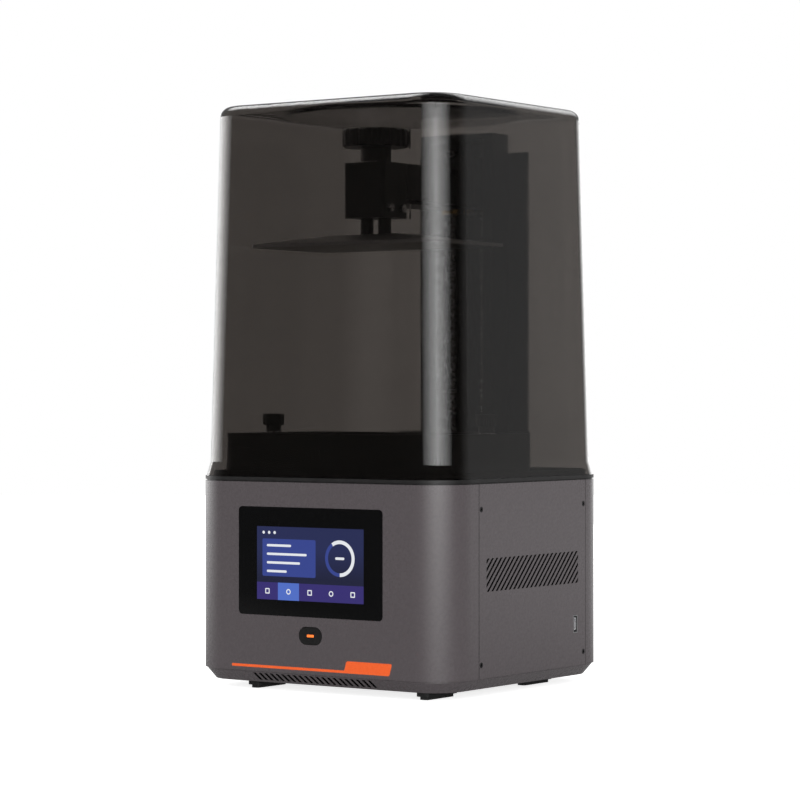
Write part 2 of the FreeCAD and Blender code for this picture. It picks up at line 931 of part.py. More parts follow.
# Panel screws: flush heads, shanks that reach through the lapped flanges
def panel_screw(side, face, row, height):
    head = ordered(f"{face} - {side} * screw_head", face, side)
    shank = ordered(f"{face} - {side} * screw_length", f"{face} - {side} * screw_head", side)
    return fuse(
        rod("x", (row, height), "screw_head_radius", *head),
        rod("x", (row, height), "screw_radius", *shank),
    )


panel_screws = [
    panel_screw(side, face, row, height)
    for side, face, wall in SIDES
    for row in SCREW_ROWS
    for height in SCREW_HEIGHTS
]
node("panel_screws", group(*panel_screws))

# Deck plate: the black top of the base, stepped to leave a shadow line above the shells
deck = new_body()
pad(deck, case_outline(deck, "deck_under", "0"), "deck_thick")
pad(deck, case_outline(deck, "shell_top", "deck_step_inset"), "deck_step")
lip_outline = case_outline(deck, "deck_top", "lip_inset")
lip_x, lip_y = inset("lip_inset + lip_wall")
rectangle(lip_outline, lip_x, lip_y, "body_corner - lip_inset - lip_wall")
pad(deck, lip_outline, "lip_height")


def print_area(body, start, width, depth, corner):
    """A rounded rectangle centred under the build plate."""
    return rounded(body, "xy", start, about("0", width), about("print_y", depth), corner)


ledge_half_width = "exposure_width / 2 + ledge_width"
ledge_half_depth = "exposure_depth / 2 + ledge_width"
ledge_outline = print_area(deck, "ledge_under", ledge_half_width, ledge_half_depth, "exposure_round")
pad(deck, ledge_outline, "shell_top - ledge_under")
for side in (1, -1):
    boss_outline = sketch(deck, "xy", "deck_under - boss_height")
    circle(boss_outline, f"{side} * thumb_x", "print_y", "boss_radius")
    pad(deck, boss_outline, "boss_height")
pocket(
    deck,
    print_area(
        deck,
        "ledge_top",
        "exposure_width / 2 + exposure_fit",
        "exposure_depth / 2 + exposure_fit",
        "exposure_round + exposure_fit",
    ),
    "deck_top - ledge_top",
)
window_outline = print_area(deck, "ledge_under", "window_width / 2", "window_depth / 2", "exposure_round")
pocket(deck, window_outline, "ledge_thick")
for side in (1, -1):
    thumb_hole = sketch(deck, "xy", "deck_under - boss_height")
    circle(thumb_hole, f"{side} * thumb_x", "print_y", "thumb_screw_radius + thread_gap")
    pocket(deck, thumb_hole, "boss_height + deck_thick")
motor_hole = sketch(deck, "xy", "shell_top")
circle(motor_hole, "0", "lead_y", "motor_boss_radius + motor_boss_fit")
pocket(deck, motor_hole, "deck_step + deck_thick")
node("deck_plate", deck)

# Smoked cover: tapered walls on a flared foot, with a round dish sunk into the roof
cover = new_body()


def cover_section(start, amount, corner):
    return case_outline(cover, start, amount, corner)


loft(
    cover,
    "Additive",
    cover_section("deck_top", "cover_foot_inset", "cover_corner"),
    cover_section("waist", "cover_waist_inset", "cover_corner"),
)
loft(
    cover,
    "Additive",
    cover_section("waist", "cover_waist_inset", "cover_corner"),
    cover_section("cover_top", "cover_top_inset", "cover_corner"),
)
round_edges(cover, lies_at(number("cover_top")), "cover_edge")
inner_corner = "cover_corner - cover_wall"
loft(
    cover,
    "Subtractive",
    cover_section("deck_top", "cover_foot_inset + cover_wall", inner_corner),
    cover_section("waist", "cover_waist_inset + cover_wall", inner_corner),
)
loft(
    cover,
    "Subtractive",
    cover_section("waist", "cover_waist_inset + cover_wall", inner_corner),
    cover_section("roof_under", "cover_top_inset + cover_wall", inner_corner),
)
dish_under = sketch(cover, "xy", "roof_under - dish_depth")
circle(dish_under, "0", "0", "dish_radius + cover_wall")
pad(cover, dish_under, "dish_depth")
dish = sketch(cover, "xy", "cover_top - dish_depth")
circle(dish, "0", "0", "dish_radius")
pocket(cover, dish, "dish_depth")
node("cover", cover)

# Touchscreen: front glass, the display bonded behind it and its driver board
screen_x = about("screen_x", "screen_width / 2")
screen_z = about("screen_z", "screen_height / 2")
node("screen_glass", plate("xz", "-half_depth", "glass_back", screen_x, screen_z, "screen_corner"))
display_x = about("screen_x", "display_width / 2")
display_z = about("screen_z", "display_height / 2")
node("touch_display", block(display_x, ("glass_back", "display_back"), display_z))
display_board_y = ("display_back", "display_back + board_thick")
node("display_board", block(display_x, display_board_y, display_z))


# Power button: a cap held behind the wall by its rim, with a lit dash in its face
def button_form(low, high, extra, corner):
    x = about("button_x", f"button_width / 2 + {extra}")
    z = about("button_z", f"button_height / 2 + {extra}")
    return plate("xz", low, high, x, z, corner)


light_x = about("button_x", "light_width / 2")
light_z = about("button_z", "light_height / 2")
light_y = ("-half_depth", "light_depth - half_depth")
cap = fuse(
    button_form("-half_depth", "button_back", "0", "button_round"),
    button_form("button_rim_front", "button_back", "button_rim", "button_round + button_rim"),
)
node("power_button", cut(cap, block(light_x, light_y, light_z)))
node("button_light", block(light_x, light_y, light_z))
button_board = block(
    about("button_x", "button_post_reach + button_post_radius"),
    ("button_board_front", "button_board_front + board_thick"),
    about("button_z", "button_height / 2"),
)
tact_switch = block(
    about("button_x", "switch_side / 2"),
    ("button_board_front - switch_height", "button_board_front"),
    about("button_z", "switch_side / 2"),
)
node("button_board", group(button_board, tact_switch))

# Exposure screen in the deck's window, with its hard cover glass flush with the deck
exposure_x = about("0", "exposure_width / 2")
exposure_y = about("print_y", "exposure_depth / 2")
exposure_seam = "ledge_top + exposure_thick"
node("exposure_screen", plate("xy", "ledge_top", exposure_seam, exposure_x, exposure_y, "exposure_round"))
node("exposure_glass", plate("xy", exposure_seam, "deck_top", exposure_x, exposure_y, "exposure_round"))

# Light hood: a black funnel that hangs from the deck's window frame
hood = new_body()
flange_bottom = "ledge_under - hood_flange"
flange_outline = print_area(hood, flange_bottom, ledge_half_width, ledge_half_depth, "exposure_round")
pad(hood, flange_outline, "hood_flange")
mouth_width = "window_width / 2 + hood_wall"
mouth_depth = "window_depth / 2 + hood_wall"
loft(
    hood,
    "Additive",
    print_area(hood, "lamp_top", "hood_foot_width / 2", "hood_foot_depth / 2", "exposure_round"),
    print_area(hood, flange_bottom, mouth_width, mouth_depth, "exposure_round"),
)
loft(
    hood,
    "Subtractive",
    print_area(
        hood,
        "lamp_top",
        "hood_foot_width / 2 - hood_wall",
        "hood_foot_depth / 2 - hood_wall",
        "exposure_round",
    ),
    print_area(hood, "ledge_under", "window_width / 2", "window_depth / 2", "exposure_round"),
)
node("light_hood", hood)

# Lamp board under the hood, with an array of lenses, a finned heat sink and a fan below it
lamp_x = about("0", "hood_foot_width / 2 + lamp_margin")
lamp_y = about("print_y", "hood_foot_depth / 2 + lamp_margin")
node("lamp_board", block(lamp_x, lamp_y, ("lamp_under", "lamp_top")))
lenses = []
for column in range(int(number("lens_columns"))):
    for row in range(int(number("lens_rows"))):
        lens_x = f"({column} - (lens_columns - 1) / 2) * lens_pitch_x"
        lens_y = f"print_y + ({row} - (lens_rows - 1) / 2) * lens_pitch_y"
        lenses.append(rod("z", (lens_x, lens_y), "lens_radius", "lamp_top", "lamp_top + lens_height"))
node("lamp_lenses", group(*lenses))

sink_half = "hood_foot_width / 2"
sink_base = block(about("0", sink_half), lamp_y, ("fin_root", "lamp_under"))
fin_count = int(number("(hood_foot_width - fin_thick) / fin_pitch")) + 1
fins = []
for index in range(fin_count):
    fin_x = about(f"({index} - {(fin_count - 1) / 2}) * fin_pitch", "fin_thick / 2")
    fins.append(block(fin_x, lamp_y, ("fin_tip", "fin_root")))
node("heat_sink", fuse(sink_base, *fins))

fan_spot = ("0", "print_y")
spider_top = "fan_bottom + fan_spider"
fan_x = about("0", "fan_side / 2")
fan_y = about("print_y", "fan_side / 2")
fan_case = cut(
    plate("xy", "fan_bottom", "fin_tip", fan_x, fan_y, "fan_round"),
    rod("z", fan_spot, "fan_bore", "fan_bottom", "fin_tip"),
)
fan_seat = rod("z", fan_spot, "fan_hub", "fan_bottom", spider_top)
arm_z = ("fan_bottom", spider_top)
fan_arms = [
    block(fan_x, about("print_y", "fan_arm / 2"), arm_z),
    block(about("0", "fan_arm / 2"), fan_y, arm_z),
]
node("fan_frame", fuse(fan_case, fan_seat, *fan_arms))

# Fan rotor: a hub with tilted blades, just above the frame's spider
rotor = new_body()
hub_outline = sketch(rotor, "xy", f"{spider_top} + fan_running_gap")
circle(hub_outline, "0", "0", "fan_hub")
rotor_height = "fan_height - fan_spider - 2 * fan_running_gap"
pad(rotor, hub_outline, rotor_height)
blade_outline = sketch(rotor, "yz", "fan_hub - fan_tip_gap")
blade_middle = f"{spider_top} + fan_running_gap + ({rotor_height}) / 2"
polygon(
    blade_outline,
    [
        ("-blade_chord / 2 - blade_thick / 2", f"{blade_middle} - blade_chord / 3"),
        ("-blade_chord / 2 + blade_thick / 2", f"{blade_middle} - blade_chord / 3"),
        ("blade_chord / 2 + blade_thick / 2", f"{blade_middle} + blade_chord / 3"),
        ("blade_chord / 2 - blade_thick / 2", f"{blade_middle} + blade_chord / 3"),
    ],
)
blade = pad(rotor, blade_outline, "fan_bore - fan_hub - fan_tip_gap")
blades = rotor.newObject("PartDesign::PolarPattern", "blades")
blades.Originals = [blade]
blades.Axis = (hub_outline, ["N_Axis"])
blades.Angle = 360
bind(blades, "Occurrences", "blade_count")
rotor.Tip = blades
bind(rotor, "Placement.Base.y", "print_y")
node("fan_rotor", rotor)

# Vat: a deep frame that stands on the deck, with the film stretched under its basin
vat = new_body()


def vat_section(start, half_width, half_depth, corner):
    return print_area(vat, start, half_width, half_depth, corner)


pad(vat, vat_section("deck_top", "vat_half_width", "vat_half_depth", "vat_corner"), "vat_height")
pocket(vat, vat_section("deck_top", "basin_half_width", "basin_half_depth", "basin_corner"), "vat_height")
seat_half_width = "film_frame_half_width + film_frame_fit"
seat_half_depth = "film_frame_half_depth + film_frame_fit"
seat_outline = vat_section("deck_top", seat_half_width, seat_half_depth, "basin_corner")
pocket(vat, seat_outline, "film_frame_top - deck_top")
for side in (1, -1):
    ear_hole = sketch(vat, "xy", "deck_top")
    circle(ear_hole, f"{side} * thumb_x", "print_y", "thumb_screw_radius + thread_gap")
    pocket(vat, ear_hole, "vat_height")
node("vat", vat)

film_x = about("0", "film_frame_half_width")
film_y = about("print_y", "film_frame_half_depth")
film_frame = new_body()
film_frame_outline = rounded(film_frame, "xy", "film_top", film_x, film_y, "basin_corner")
rectangle(
    film_frame_outline,
    about("0", "film_frame_half_width - film_frame_wall"),
    about("print_y", "film_frame_half_depth - film_frame_wall"),
    "basin_corner - film_frame_wall / 2",
)
pad(film_frame, film_frame_outline, "film_frame_thick")
node("film_frame", film_frame)
node("vat_film", plate("xy", "film_under", "film_top", film_x, film_y, "basin_corner"))

# Thumb screws: knobs whose shanks pass through the vat's rim into the deck's bosses
for name, side in (("right", 1), ("left", -1)):
    thumb_x = f"{side} * thumb_x"
    neck_top = "thumb_seat + thumb_neck"
    shank_end = "deck_top - thumb_engaged"
    node(
        f"{name}_thumb_screw",
        turned(
            thumb_x,
            "print_y",
            [
                ("0", shank_end),
                ("thumb_screw_radius", shank_end),
                ("thumb_screw_radius", "thumb_seat"),
                ("thumb_neck_radius", "thumb_seat"),
                ("thumb_neck_radius", neck_top),
                ("thumb_radius", neck_top),
                ("thumb_radius", f"{neck_top} + thumb_head"),
                ("0", f"{neck_top} + thumb_head"),
            ],
        ),
    )
    washer_bore = "thumb_screw_radius + thread_gap"
    washer = ring(thumb_x, "print_y", "thumb_washer_radius", washer_bore, "vat_top", "thumb_seat")
    node(f"{name}_thumb_washer", washer)

# Lift column: a channel open to the front, on a foot bracket, with a wide plate behind it
column_z = ("foot_plate_top", "channel_top")
column_y = ("column_front", "column_back")
column_hollow = block(
    about("0", "column_half - column_wall"),
    ("column_front + column_lip", "column_inside"),
    column_z,
)
column_mouth = block(about("0", "column_mouth"), ("column_front", "column_inside"), column_z)
channel = block(about("0", "column_half"), column_y, column_z)
node("column_channel", cut(channel, column_hollow, column_mouth))

lead_spot = ("0", "lead_y")
cap_boss = rod("z", lead_spot, "cap_boss_radius", "channel_top - cap_boss", "channel_top")
cap_plate = block(about("0", "column_half"), column_y, ("channel_top", "column_top"))
lead_bore = rod("z", lead_spot, "lead_radius + lead_gap", "channel_top - cap_boss", "channel_top")
node("column_cap", cut(fuse(cap_plate, cap_boss), lead_bore))

back_plate_y = ("column_back", "column_back + back_plate_thick")
back_plate_z = ("deck_top", "back_plate_top")
node("column_back_plate", block(about("0", "back_plate_half"), back_plate_y, back_plate_z))

foot_plate = block(
    about("0", "foot_plate_half"),
    ("foot_plate_front", "column_back"),
    ("deck_top", "foot_plate_top"),
)
gussets = [
    block(
        ordered(f"{side} * column_half", f"{side} * foot_plate_half", side),
        ("gusset_front", "column_back"),
        ("foot_plate_top", "deck_top + gusset_height"),
    )
    for side in (1, -1)
]
motor_clear = rod("z", lead_spot, "motor_boss_radius + motor_boss_fit", "deck_top", "foot_plate_top")
node("column_foot", cut(fuse(foot_plate, *gussets), motor_clear))

# Guide rails on the channel's back wall, and the blocks that run on them
rail_y = ("column_inside - rail_height", "column_inside")
rail_z = ("deck_top + rail_start", "channel_top - rail_end_gap")
slider_y = ("carriage_back", "column_inside - slider_lift")
slider_z = ("carriage_bottom + slider_inset", "carriage_top - slider_inset")
rails = []
sliders = []
for side in (1, -1):
    rail_x = f"{side} * rail_x"
    rails.append(block(about(rail_x, "rail_width / 2"), rail_y, rail_z))
    groove = block(
        about(rail_x, "rail_width / 2 + rail_gap"),
        ("column_inside - rail_height - rail_gap", "column_inside"),
        slider_z,
    )
    sliders.append(cut(block(about(rail_x, "slider_width / 2"), slider_y, slider_z), groove))
node("guide_rails", group(*rails))
node("rail_blocks", group(*sliders))

# Lift motor under the deck; its shaft is the lead screw itself
motor_bottom = "shell_top - motor_length"
motor_can = plate(
    "xy",
    motor_bottom,
    "shell_top",
    about("0", "motor_side / 2"),
    about("lead_y", "motor_side / 2"),
    "motor_round",
)
motor_boss = rod("z", lead_spot, "motor_boss_radius", "shell_top", "shell_top + motor_boss")
screw_start = f"{motor_bottom} + motor_bore_end"
motor_bore = rod("z", lead_spot, "lead_radius + lead_gap", screw_start, "shell_top + motor_boss")
node("lift_motor", cut(fuse(motor_can, motor_boss), motor_bore))
screw_low = f"{screw_start} + lead_gap"
node("lead_screw", rod("z", lead_spot, "lead_radius", screw_low, "channel_top - lead_top_gap"))

nut_bottom = "carriage_bottom - nut_flange"
nut_bore = "lead_radius + lead_gap"
node(
    "lead_nut",
    turned(
        *lead_spot,
        [
            (nut_bore, nut_bottom),
            ("nut_flange_radius", nut_bottom),
            ("nut_flange_radius", "carriage_bottom"),
            ("nut_radius", "carriage_bottom"),
            ("nut_radius", "carriage_bottom + nut_length"),
            (nut_bore, "carriage_bottom + nut_length"),
        ],
    ),
)

# Limit sensor low on the channel's back wall; the carriage's flag drops into its slot
sensor_z = ("foot_plate_top + sensor_start", "foot_plate_top + sensor_start + sensor_height")
sensor_body = block(about("flag_x", "sensor_width / 2"), ("sensor_front", "column_inside"), sensor_z)
sensor_slot = block(
    about("flag_x", "sensor_slot / 2"),
    ("sensor_front", "sensor_front + sensor_slot_depth"),
    sensor_z,
)
node("limit_sensor", cut(sensor_body, sensor_slot))

# Carriage: a plate on the rail blocks with a neck that comes out of the channel's mouth
carriage_z = ("carriage_bottom", "carriage_top")
carriage = fuse(
    block(about("0", "carriage_half"), ("carriage_front", "carriage_back"), carriage_z),
    block(about("0", "neck_half"), ("neck_front", "carriage_front"), carriage_z),
    block(
        about("flag_x", "flag_thick / 2"),
        ("flag_front", "flag_front + flag_depth"),
        ("carriage_bottom - flag_drop", "carriage_bottom"),
    ),
)
nut_seat = rod("z", lead_spot, "nut_radius + nut_fit", *carriage_z)
node("z_carriage", cut(carriage, nut_seat))

# Arm: a beam from the carriage with a drip plate below it and a tongue at its front
tongue = block(
    about("0", "tongue_half"),
    ("head_front + tongue_end + arm_head_gap", "arm_front"),
    ("tongue_under", "tongue_top"),
)
beam_y = ("arm_front", "neck_front")
drip_top = "head_bottom - drip_gap"
node(
    "platform_arm",
    fuse(
        block(about("0", "arm_half"), beam_y, ("head_bottom", "head_top")),
        block(about("0", "drip_web_half"), beam_y, (drip_top, "head_bottom")),
        block(about("0", "arm_half"), beam_y, (f"{drip_top} - drip_thick", drip_top)),
        tongue,
    ),
)

# Platform head: a block that slides onto the tongue, with the levelling block under it
head_x = about("0", "head_half_width")
head_y = ("head_front", "head_rear")
tongue_slot = block(
    about("0", "tongue_half + tongue_fit"),
    ("head_front + tongue_end", "head_rear"),
    ("tongue_under - tongue_fit", "tongue_top + tongue_fit"),
)
knob_spot = ("0", "print_y")
knob_hole = rod("z", knob_spot, "knob_screw_radius + thread_gap", "tongue_top", "head_top")
head_form = plate("xy", "head_bottom", "head_top", head_x, head_y, "head_round")
node("platform_head", cut(head_form, tongue_slot, knob_hole))
node("levelling_block", plate("xy", "level_bottom", "head_bottom", head_x, head_y, "head_round"))
level_screws = []
for side in (1, -1):
    for row in (1, -1):
        seat = f"{side} * head_half_width"
        reach = ordered(seat, f"{side} * (head_half_width + level_screw_head)", side)
        across = (f"print_y + {row} * level_screw_y", "level_bottom + level_height / 2")
        level_screws.append(rod("x", across, "level_screw_radius", *reach))
node("levelling_screws", group(*level_screws))
posts = [
    rod("z", (f"{side} * post_x", "print_y"), "post_radius", "plate_top", "level_bottom")
    for side in (1, -1)
]
node("platform_posts", group(*posts))

# Build plate: thin at the edge, with a top that slopes up to the posts so that resin drains
build_plate = new_body()


def plate_section(start, width, depth):
    return print_area(build_plate, start, f"{width} / 2", f"{depth} / 2", "exposure_round")


pad(build_plate, plate_section("plate_bottom", "plate_width", "plate_depth"), "plate_edge")
loft(
    build_plate,
    "Additive",
    plate_section("plate_shoulder", "plate_width", "plate_depth"),
    plate_section("plate_top", "plate_ridge_width", "plate_ridge_depth"),
)
node("build_plate", build_plate)

# Clamp knob: a fluted wheel on a stem, with a steel screw that bears on the arm's tongue
knob_bore = "knob_screw_radius + knob_screw_fit"
bore_end = "stem_bottom + knob_screw_depth"
knob_wheel = turned(
    *knob_spot,
    [
        ("0", bore_end),
        (knob_bore, bore_end),
        (knob_bore, "stem_bottom"),
        ("stem_radius", "stem_bottom"),
        ("stem_radius", "stem_top"),
        ("knob_radius - knob_chamfer", "stem_top"),
        ("knob_radius", "stem_top + knob_chamfer"),
        ("knob_radius", "knob_top - knob_chamfer"),
        ("knob_radius - knob_chamfer", "knob_top"),
        ("0", "knob_top"),
    ],
)
flute_outline = sketch(knob_wheel, "xy", "stem_top")
circle(flute_outline, "knob_flute_reach", "0", "knob_flute_radius")
flute = pocket(knob_wheel, flute_outline, "knob_height")
flutes = knob_wheel.newObject("PartDesign::PolarPattern", "flutes")
flutes.Originals = [flute]
flutes.Axis = (flute_outline, ["N_Axis"])
flutes.Angle = 360
bind(flutes, "Occurrences", "knob_flutes")
knob_wheel.Tip = flutes
node("platform_knob", knob_wheel)
knob_tip = "tongue_top + knob_tip_gap"
node("knob_screw", rod("z", knob_spot, "knob_screw_radius", knob_tip, bore_end))
knob_washer_bore = "knob_screw_radius + thread_gap"
node("knob_washer", ring(*knob_spot, "stem_radius", knob_washer_bore, "head_top", "stem_bottom"))

# Main board: upright behind the light engine, on a bracket that stands in the pan
mainboard_x = ("mainboard_left", "mainboard_right")
mainboard_z = ("mainboard_bottom", "mainboard_top")
node("mainboard", block(mainboard_x, ("mainboard_front", "mainboard_back"), mainboard_z))


def board_part(x, z, width, height, depth):
    """A component on the board's front face, measured from the board's lower left corner."""
    return block(
        (f"mainboard_left + {x}", f"mainboard_left + {x + width}"),
        (f"mainboard_front - {depth}", "mainboard_front"),
        (f"mainboard_bottom + {z}", f"mainboard_bottom + {z + height}"),
    )


BOARD_PARTS = {
    "processor": (20, 40, 16, 16, 1.6),
    "memory": (42, 42, 10, 12, 1.2),
    "motor_driver": (20, 64, 12, 12, 8),
    "lamp_driver": (40, 64, 18, 12, 8),
    "power_terminal": (6, 6, 20, 10, 11),
    "fan_header": (34, 6, 10, 6, 7),
    "screen_header": (4, 40, 6, 24, 4),
}
node("mainboard_parts", group(*[board_part(*spot) for spot in BOARD_PARTS.values()]))

left_hole = "mainboard_left + standoff_inset"
right_hole = "mainboard_right - standoff_inset"
holes_z = ("mainboard_bottom + standoff_inset", "mainboard_top - standoff_inset")
standoffs = [
    rod("y", (x, z), "standoff_radius", "mainboard_back", "bracket_front")
    for x in (left_hole, right_hole)
    for z in holes_z
]
bracket_x = (f"{left_hole} - standoff_radius", f"{right_hole} + standoff_radius")
bracket_sheet = block(bracket_x, ("bracket_front", "bracket_back"), ("floor_top", "mainboard_top"))
bracket_foot = block(
    bracket_x,
    ("bracket_back", "bracket_back + bracket_foot"),
    ("floor_top", "floor_top + bracket_thick"),
)
node("mainboard_bracket", fuse(bracket_sheet, bracket_foot, *standoffs))

# USB socket on the board's edge, its mouth flush with the right side panel
usb_x = ("half_width - usb_length", "half_width")
usb_shell = block(usb_x, about("usb_y", "usb_width / 2"), about("usb_z", "usb_height / 2"))
usb_mouth = block(
    ("half_width - usb_length + usb_wall", "half_width"),
    about("usb_y", "usb_width / 2 - usb_wall"),
    about("usb_z", "usb_height / 2 - usb_wall"),
)
usb_tongue = block(
    ("half_width - usb_length", "half_width - usb_tongue"),
    ("usb_y + usb_width / 2 - usb_wall - usb_tongue", "usb_y + usb_width / 2 - usb_wall"),
    about("usb_z", "usb_height / 2 - usb_tongue"),
)
node("usb_socket", fuse(cut(usb_shell, usb_mouth), usb_tongue))

# Power inlet: a round jack in the rear wall, held by a rim on the inside
inlet_back = "half_depth - inlet_length"
inlet_barrel = rod("y", inlet_spot, "inlet_radius", inlet_back, "half_depth")
inlet_rim = rod("y", inlet_spot, "inlet_rim_radius", "rear_inside - inlet_rim", "rear_inside")
inlet_bore = rod("y", inlet_spot, "inlet_bore", "half_depth - inlet_bore_depth", "half_depth")
inlet_pin = rod("y", inlet_spot, "inlet_pin", inlet_back, "half_depth - inlet_pin")
node("power_inlet", fuse(cut(fuse(inlet_barrel, inlet_rim), inlet_bore), inlet_pin))

doc.recompute()

for piece in doc.Objects:
    if "Invalid" in piece.State or "Error" in piece.State:
        raise RuntimeError(f"{piece.Label} failed: {piece.State}")
for piece in NODES:
    if piece.Shape.isNull() or not piece.Shape.isValid():
        raise RuntimeError(f"{piece.Label} has no valid shape")

os.makedirs("parts", exist_ok=True)
for piece in NODES:
    piece.Shape.exportStep(f"parts/{piece.Label}.step")
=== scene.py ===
"""Desktop resin printer: grey painted base, black deck, vat, lift column and smoked cover."""

import math

import bmesh
import bpy
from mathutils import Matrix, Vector


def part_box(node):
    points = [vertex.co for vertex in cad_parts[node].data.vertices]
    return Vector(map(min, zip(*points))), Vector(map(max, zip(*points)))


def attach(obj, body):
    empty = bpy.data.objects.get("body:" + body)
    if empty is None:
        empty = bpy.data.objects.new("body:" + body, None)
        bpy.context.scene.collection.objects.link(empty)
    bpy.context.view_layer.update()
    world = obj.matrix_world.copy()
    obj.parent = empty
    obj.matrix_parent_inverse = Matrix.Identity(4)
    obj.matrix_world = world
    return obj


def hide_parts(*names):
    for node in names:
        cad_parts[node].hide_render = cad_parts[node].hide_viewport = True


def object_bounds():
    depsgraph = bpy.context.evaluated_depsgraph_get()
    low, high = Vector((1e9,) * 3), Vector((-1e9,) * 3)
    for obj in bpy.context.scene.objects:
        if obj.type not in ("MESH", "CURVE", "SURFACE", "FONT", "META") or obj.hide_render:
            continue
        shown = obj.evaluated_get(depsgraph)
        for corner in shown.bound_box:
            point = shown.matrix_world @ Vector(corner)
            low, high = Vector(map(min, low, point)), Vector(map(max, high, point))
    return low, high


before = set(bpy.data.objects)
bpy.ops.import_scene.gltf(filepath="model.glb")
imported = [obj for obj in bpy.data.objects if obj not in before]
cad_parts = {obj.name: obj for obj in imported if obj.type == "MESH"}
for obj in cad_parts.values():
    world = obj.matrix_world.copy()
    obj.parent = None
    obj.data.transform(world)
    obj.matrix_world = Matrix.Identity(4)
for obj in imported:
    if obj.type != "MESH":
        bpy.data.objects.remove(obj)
cad_low, cad_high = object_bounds()

# Rubber feet: four black moulded pads with a narrower tread, glued under the pan.
# Dull, slightly dusty rubber with a fine pebbled skin from the mould.
MM = 0.001
NOISE_LOW, NOISE_HIGH, NOISE_DETAIL = 0.3, 0.7, 3.0
TONE_GRAINS, GLOSS_GRAINS = 9, 5


def new_finish(name):
    """An empty finish: the material, its node tree and its shader."""
    made = bpy.data.materials.new(name)
    made.use_nodes = True
    return made, made.node_tree, made.node_tree.nodes["Principled BSDF"]


def place_in(tree):
    """A point on the piece, in metres of the printer's own frame."""
    return tree.nodes.new("ShaderNodeTexCoord").outputs["Object"]


def speckle(tree, grain_mm, stretch=(1, 1, 1)):
    """A random value from 0 to 1 whose grains are about as wide as given."""
    fitted = tree.nodes.new("ShaderNodeMapping")
    fitted.inputs["Scale"].default_value = stretch
    tree.links.new(place_in(tree), fitted.inputs["Vector"])
    noise = tree.nodes.new("ShaderNodeTexNoise")
    noise.inputs["Scale"].default_value = 1 / (grain_mm * MM)
    noise.inputs["Detail"].default_value = NOISE_DETAIL
    tree.links.new(fitted.outputs["Vector"], noise.inputs["Vector"])
    return noise.outputs["Fac"]


def spread(tree, value, low, high):
    """The middle of a random value's range, stretched between two numbers."""
    ranged = tree.nodes.new("ShaderNodeMapRange")
    ranged.inputs["From Min"].default_value = NOISE_LOW
    ranged.inputs["From Max"].default_value = NOISE_HIGH
    ranged.inputs["To Min"].default_value = low
    ranged.inputs["To Max"].default_value = high
    tree.links.new(value, ranged.inputs["Value"])
    return ranged.outputs["Result"]


def tone_between(tree, value, dark, light):
    """A colour between two, chosen by a random value."""
    mixed = tree.nodes.new("ShaderNodeMix")
    mixed.data_type = "RGBA"
    mixed.inputs["A"].default_value = (*dark, 1)
    mixed.inputs["B"].default_value = (*light, 1)
    tree.links.new(spread(tree, value, 0, 1), mixed.inputs["Factor"])
    return mixed.outputs["Result"]


def roughen(tree, shader, value, depth_mm, strength):
    """Relief on the surface from a random value."""
    relief = tree.nodes.new("ShaderNodeBump")
    relief.inputs["Distance"].default_value = depth_mm * MM
    relief.inputs["Strength"].default_value = strength
    tree.links.new(value, relief.inputs["Height"])
    tree.links.new(relief.outputs["Normal"], shader.inputs["Normal"])


def plain_finish(
    name, dark, light, gloss, grain_mm, relief_mm=0.02, strength=0.25, metal=0.0, stretch=(1, 1, 1)
):
    """A finish with a mottled tone, uneven gloss and a grained skin."""
    made, tree, shader = new_finish(name)
    shader.inputs["Metallic"].default_value = metal
    tone = tone_between(tree, speckle(tree, grain_mm * TONE_GRAINS), dark, light)
    tree.links.new(tone, shader.inputs["Base Color"])
    low, high = gloss
    uneven = spread(tree, speckle(tree, grain_mm * GLOSS_GRAINS), low, high)
    tree.links.new(uneven, shader.inputs["Roughness"])
    roughen(tree, shader, speckle(tree, grain_mm, stretch), relief_mm, strength)
    return made


def wear(finish, *nodes):
    """Gives CAD nodes a finish."""
    for name in nodes:
        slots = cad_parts[name].data.materials
        slots.clear()
        slots.append(finish)


foot_rubber = plain_finish(
    "foot_rubber", (0.008, 0.008, 0.008), (0.016, 0.016, 0.016), (0.7, 0.85), 0.5, 0.05
)
wear(foot_rubber, "rubber_feet")

# Base case: pan, wrapped front and rear shells and flat side panels of pressed steel.
# All are powder coated in one warm grey with a fine skin like orange peel. The front shell
# carries a printed orange stripe that ends in a slanted tab.
PAINT_DARK = (0.0880, 0.0762, 0.0808)
PAINT_LIGHT = (0.0915, 0.0793, 0.0840)
PAINT_GLOSS = (0.26, 0.29)
PEEL_MM, PEEL_DEPTH_MM, PEEL_STRENGTH = 0.5, 0.01, 0.025
PRINT_ORANGE = (0.94, 0.128, 0.021)
STRIPE_LEFT, STRIPE_RIGHT = -74 * MM, 66 * MM
STRIPE_LOW, STRIPE_HIGH = 16.7 * MM, 18.6 * MM
TAB_LEFT, TAB_RIGHT = 27 * MM, 66.8 * MM
TAB_TOP = 25.3 * MM
TAB_LEAN = 0.27
TAB_CORNER = 1.4 * MM
# Painted shade: near black laid on the walls of the side slots and the pan's rim slots, and a
# painted shadow along the side panels' seams.
PAINTED_SLOT_SHADE = (0.004, 0.004, 0.004)
SLOT_SKIN = 0.3 * MM
PAN_NECK, PAN_SLOPE = 1.2 * MM, 0.85
# Width of the painted shadow along the side panels' seams.
SEAM_EDGE = 0.3 * MM
RIM_SLOTS_REACH, RIM_SLOT_DEPTH = 60 * MM, 12 * MM
PRINT_SKIN = 0.1 * MM
HAIR = 0.001 * MM


def work_out(tree, operation, *values):
    """One step of arithmetic on sockets or numbers."""
    step = tree.nodes.new("ShaderNodeMath")
    step.operation = operation
    for socket, value in zip(step.inputs, values):
        if isinstance(value, (int, float)):
            socket.default_value = value
        else:
            tree.links.new(value, socket)
    return step.outputs["Value"]


